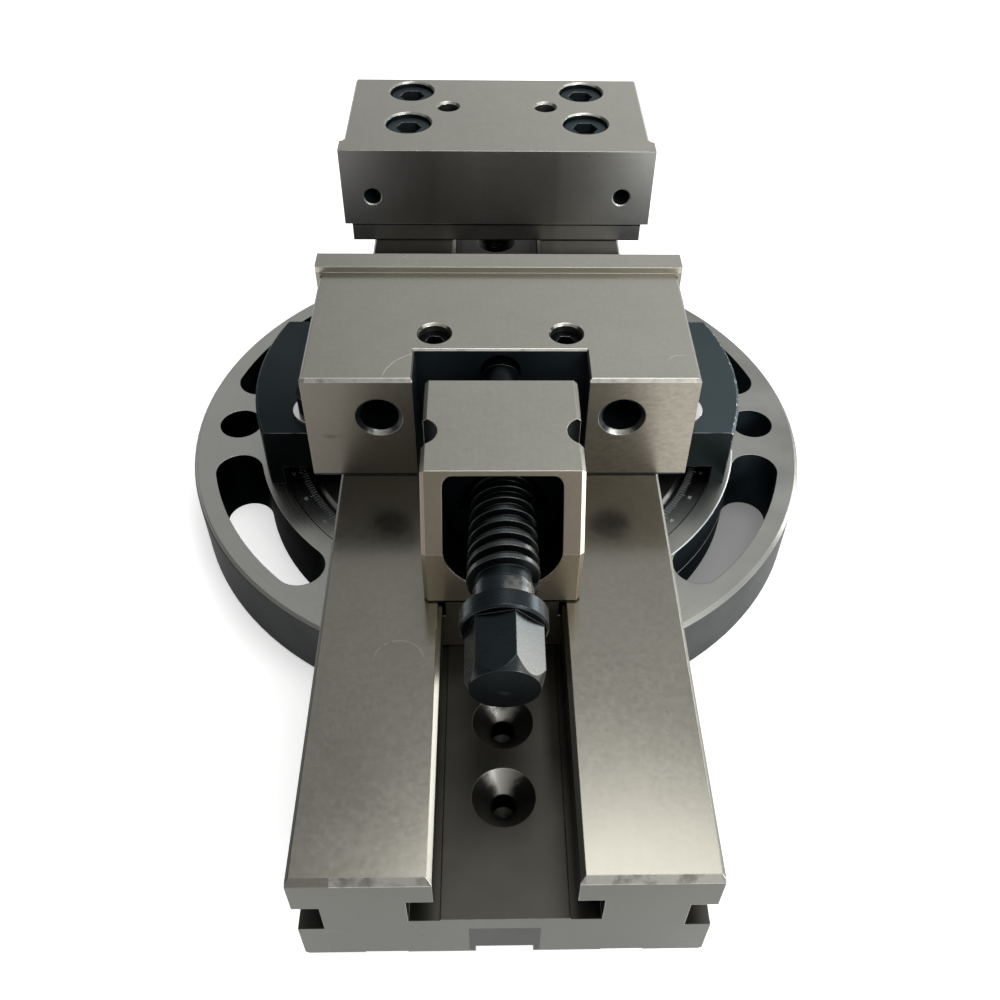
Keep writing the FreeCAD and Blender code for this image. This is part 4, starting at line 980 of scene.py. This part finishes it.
class VISE_OT_stage(bpy.types.Operator):
    """Add the pale floor, the soft studio light and the camera"""
    bl_idname = "vise.stage"
    bl_label = "Stage"

    def execute(self, context):
        self.floor()
        self.room()
        self.lamps()
        self.camera()
        context.scene.view_settings.view_transform = "Standard"
        return {"FINISHED"}

    def floor(self):
        """A pale floor that shows white by itself, with a painted shadow under the ring's right half, seen
        through its right slots, and a little painted light under its left half.
        """
        s, c = sizes(), colours()
        deselect()
        bpy.ops.mesh.primitive_grid_add(x_subdivisions=8, y_subdivisions=8, size=2 * s.floor_size,
                                        location=(0.0, 0.0, 0.0))
        floor = settled("floor")
        f = Finish("Pale floor")
        # Painted shadow under the ring's right half and a little painted light under its left half
        under_ring = f.x.away(f.y).below(RING_HIGH.x - 5.0 * MM)
        level = 0.98 + 0.03 * f.noise(f.place, 3.0, 3.0) + under_ring * (0.12 - 0.84 * f.x.above(0.0))
        rays = f.node("ShaderNodeLightPath").outputs
        seen = Field(f, rays["Is Camera Ray"]) + Field(f, rays["Is Glossy Ray"]) \
            + Field(f, rays["Is Transmission Ray"])
        f.set(Base_Color=f.scaled(c.floor, level), Roughness=0.85, Specular_IOR_Level=0.1,
              Emission_Color=f.scaled(c.floor, seen.kept() * s.floor_lift * level), Emission_Strength=1.0)
        f.cover(floor)

    def room(self):
        """A plain room that is brighter on the right."""
        world = bpy.data.worlds.new("Studio")
        bpy.context.scene.world = world
        world.use_nodes = True
        tree = world.node_tree
        tree.nodes.clear()
        place = tree.nodes.new("ShaderNodeTexCoord")
        apart = tree.nodes.new("ShaderNodeSeparateXYZ")
        brightness = tree.nodes.new("ShaderNodeMapRange")
        background = tree.nodes.new("ShaderNodeBackground")
        out = tree.nodes.new("ShaderNodeOutputWorld")
        brightness.interpolation_type = "SMOOTHSTEP"
        for name, value in (("From Min", -0.7), ("From Max", 0.8), ("To Min", 0.35), ("To Max", 1.30)):
            brightness.inputs[name].default_value = value
        tree.links.new(place.outputs["Generated"], apart.inputs["Vector"])
        tree.links.new(apart.outputs["X"], brightness.inputs["Value"])
        tree.links.new(brightness.outputs["Result"], background.inputs["Color"])
        tree.links.new(background.outputs["Background"], out.inputs["Surface"])

    def lamps(self):
        """Three soft round lamps that the camera doesn't see."""
        for name, place, size, power in LAMPS:
            bpy.ops.object.light_add(type="AREA", location=place)
            lamp = bpy.context.object
            lamp.name = name
            lamp.data.shape = "DISK"
            lamp.data.size = size
            lamp.data.energy = power
            lamp.visible_camera = False
            lamp.rotation_euler = (LAMP_AIM - Vector(place)).to_track_quat("-Z", "Y").to_euler()

    def camera(self):
        """The camera where the photograph was taken from."""
        level = Vector((math.sin(CAMERA_YAW), math.cos(CAMERA_YAW), 0.0))
        ahead = math.cos(CAMERA_PITCH) * level - math.sin(CAMERA_PITCH) * Vector((0.0, 0.0, 1.0))
        right = Vector((math.cos(CAMERA_YAW), -math.sin(CAMERA_YAW), 0.0))
        up = right.cross(ahead)
        across = math.cos(CAMERA_ROLL) * right + math.sin(CAMERA_ROLL) * up
        upward = math.cos(CAMERA_ROLL) * up - math.sin(CAMERA_ROLL) * right
        turn = Matrix((across, upward, -ahead)).transposed().to_4x4()
        bpy.ops.object.camera_add()
        camera = bpy.context.object
        camera.name = "Camera"
        camera.matrix_world = Matrix.Translation(CAMERA_AT) @ turn
        camera.data.sensor_width = 36.0
        camera.data.lens = sizes().lens
        camera.data.shift_x, camera.data.shift_y = CAMERA_SHIFT
        camera.data.clip_start = 10.0 * MM
        bpy.context.scene.camera = camera


class VISE_PT_panel(bpy.types.Panel):
    """Sizes, colours and steps of the vise"""
    bl_idname = "VISE_PT_panel"
    bl_label = "Modular machine vise"
    bl_space_type = "VIEW_3D"
    bl_region_type = "UI"
    bl_category = "Vise"

    def draw(self, context):
        for step in STEPS:
            self.layout.operator(step.bl_idname)
        for group in (context.scene.vise_sizes, context.scene.vise_colours):
            for name in group.__annotations__:
                self.layout.prop(group, name)


STEPS = (VISE_OT_bed, VISE_OT_jaws, VISE_OT_screw_block, VISE_OT_swivel_base, VISE_OT_clamps,
         VISE_OT_fasteners, VISE_OT_plunger_spring, VISE_OT_spindle, VISE_OT_degree_scale,
         VISE_OT_degree_numbers, VISE_OT_stage)
CLASSES = (ViseSizes, ViseColours, *STEPS, VISE_PT_panel)


def register():
    for each in CLASSES:
        bpy.utils.register_class(each)
    bpy.types.Scene.vise_sizes = PointerProperty(type=ViseSizes)
    bpy.types.Scene.vise_colours = PointerProperty(type=ViseColours)


def unregister():
    del bpy.types.Scene.vise_colours
    del bpy.types.Scene.vise_sizes
    for each in reversed(CLASSES):
        bpy.utils.unregister_class(each)


def main():
    register()
    for step in STEPS:
        area, name = step.bl_idname.split(".")
        getattr(getattr(bpy.ops, area), name)()


if __name__ == "__main__":
    main()
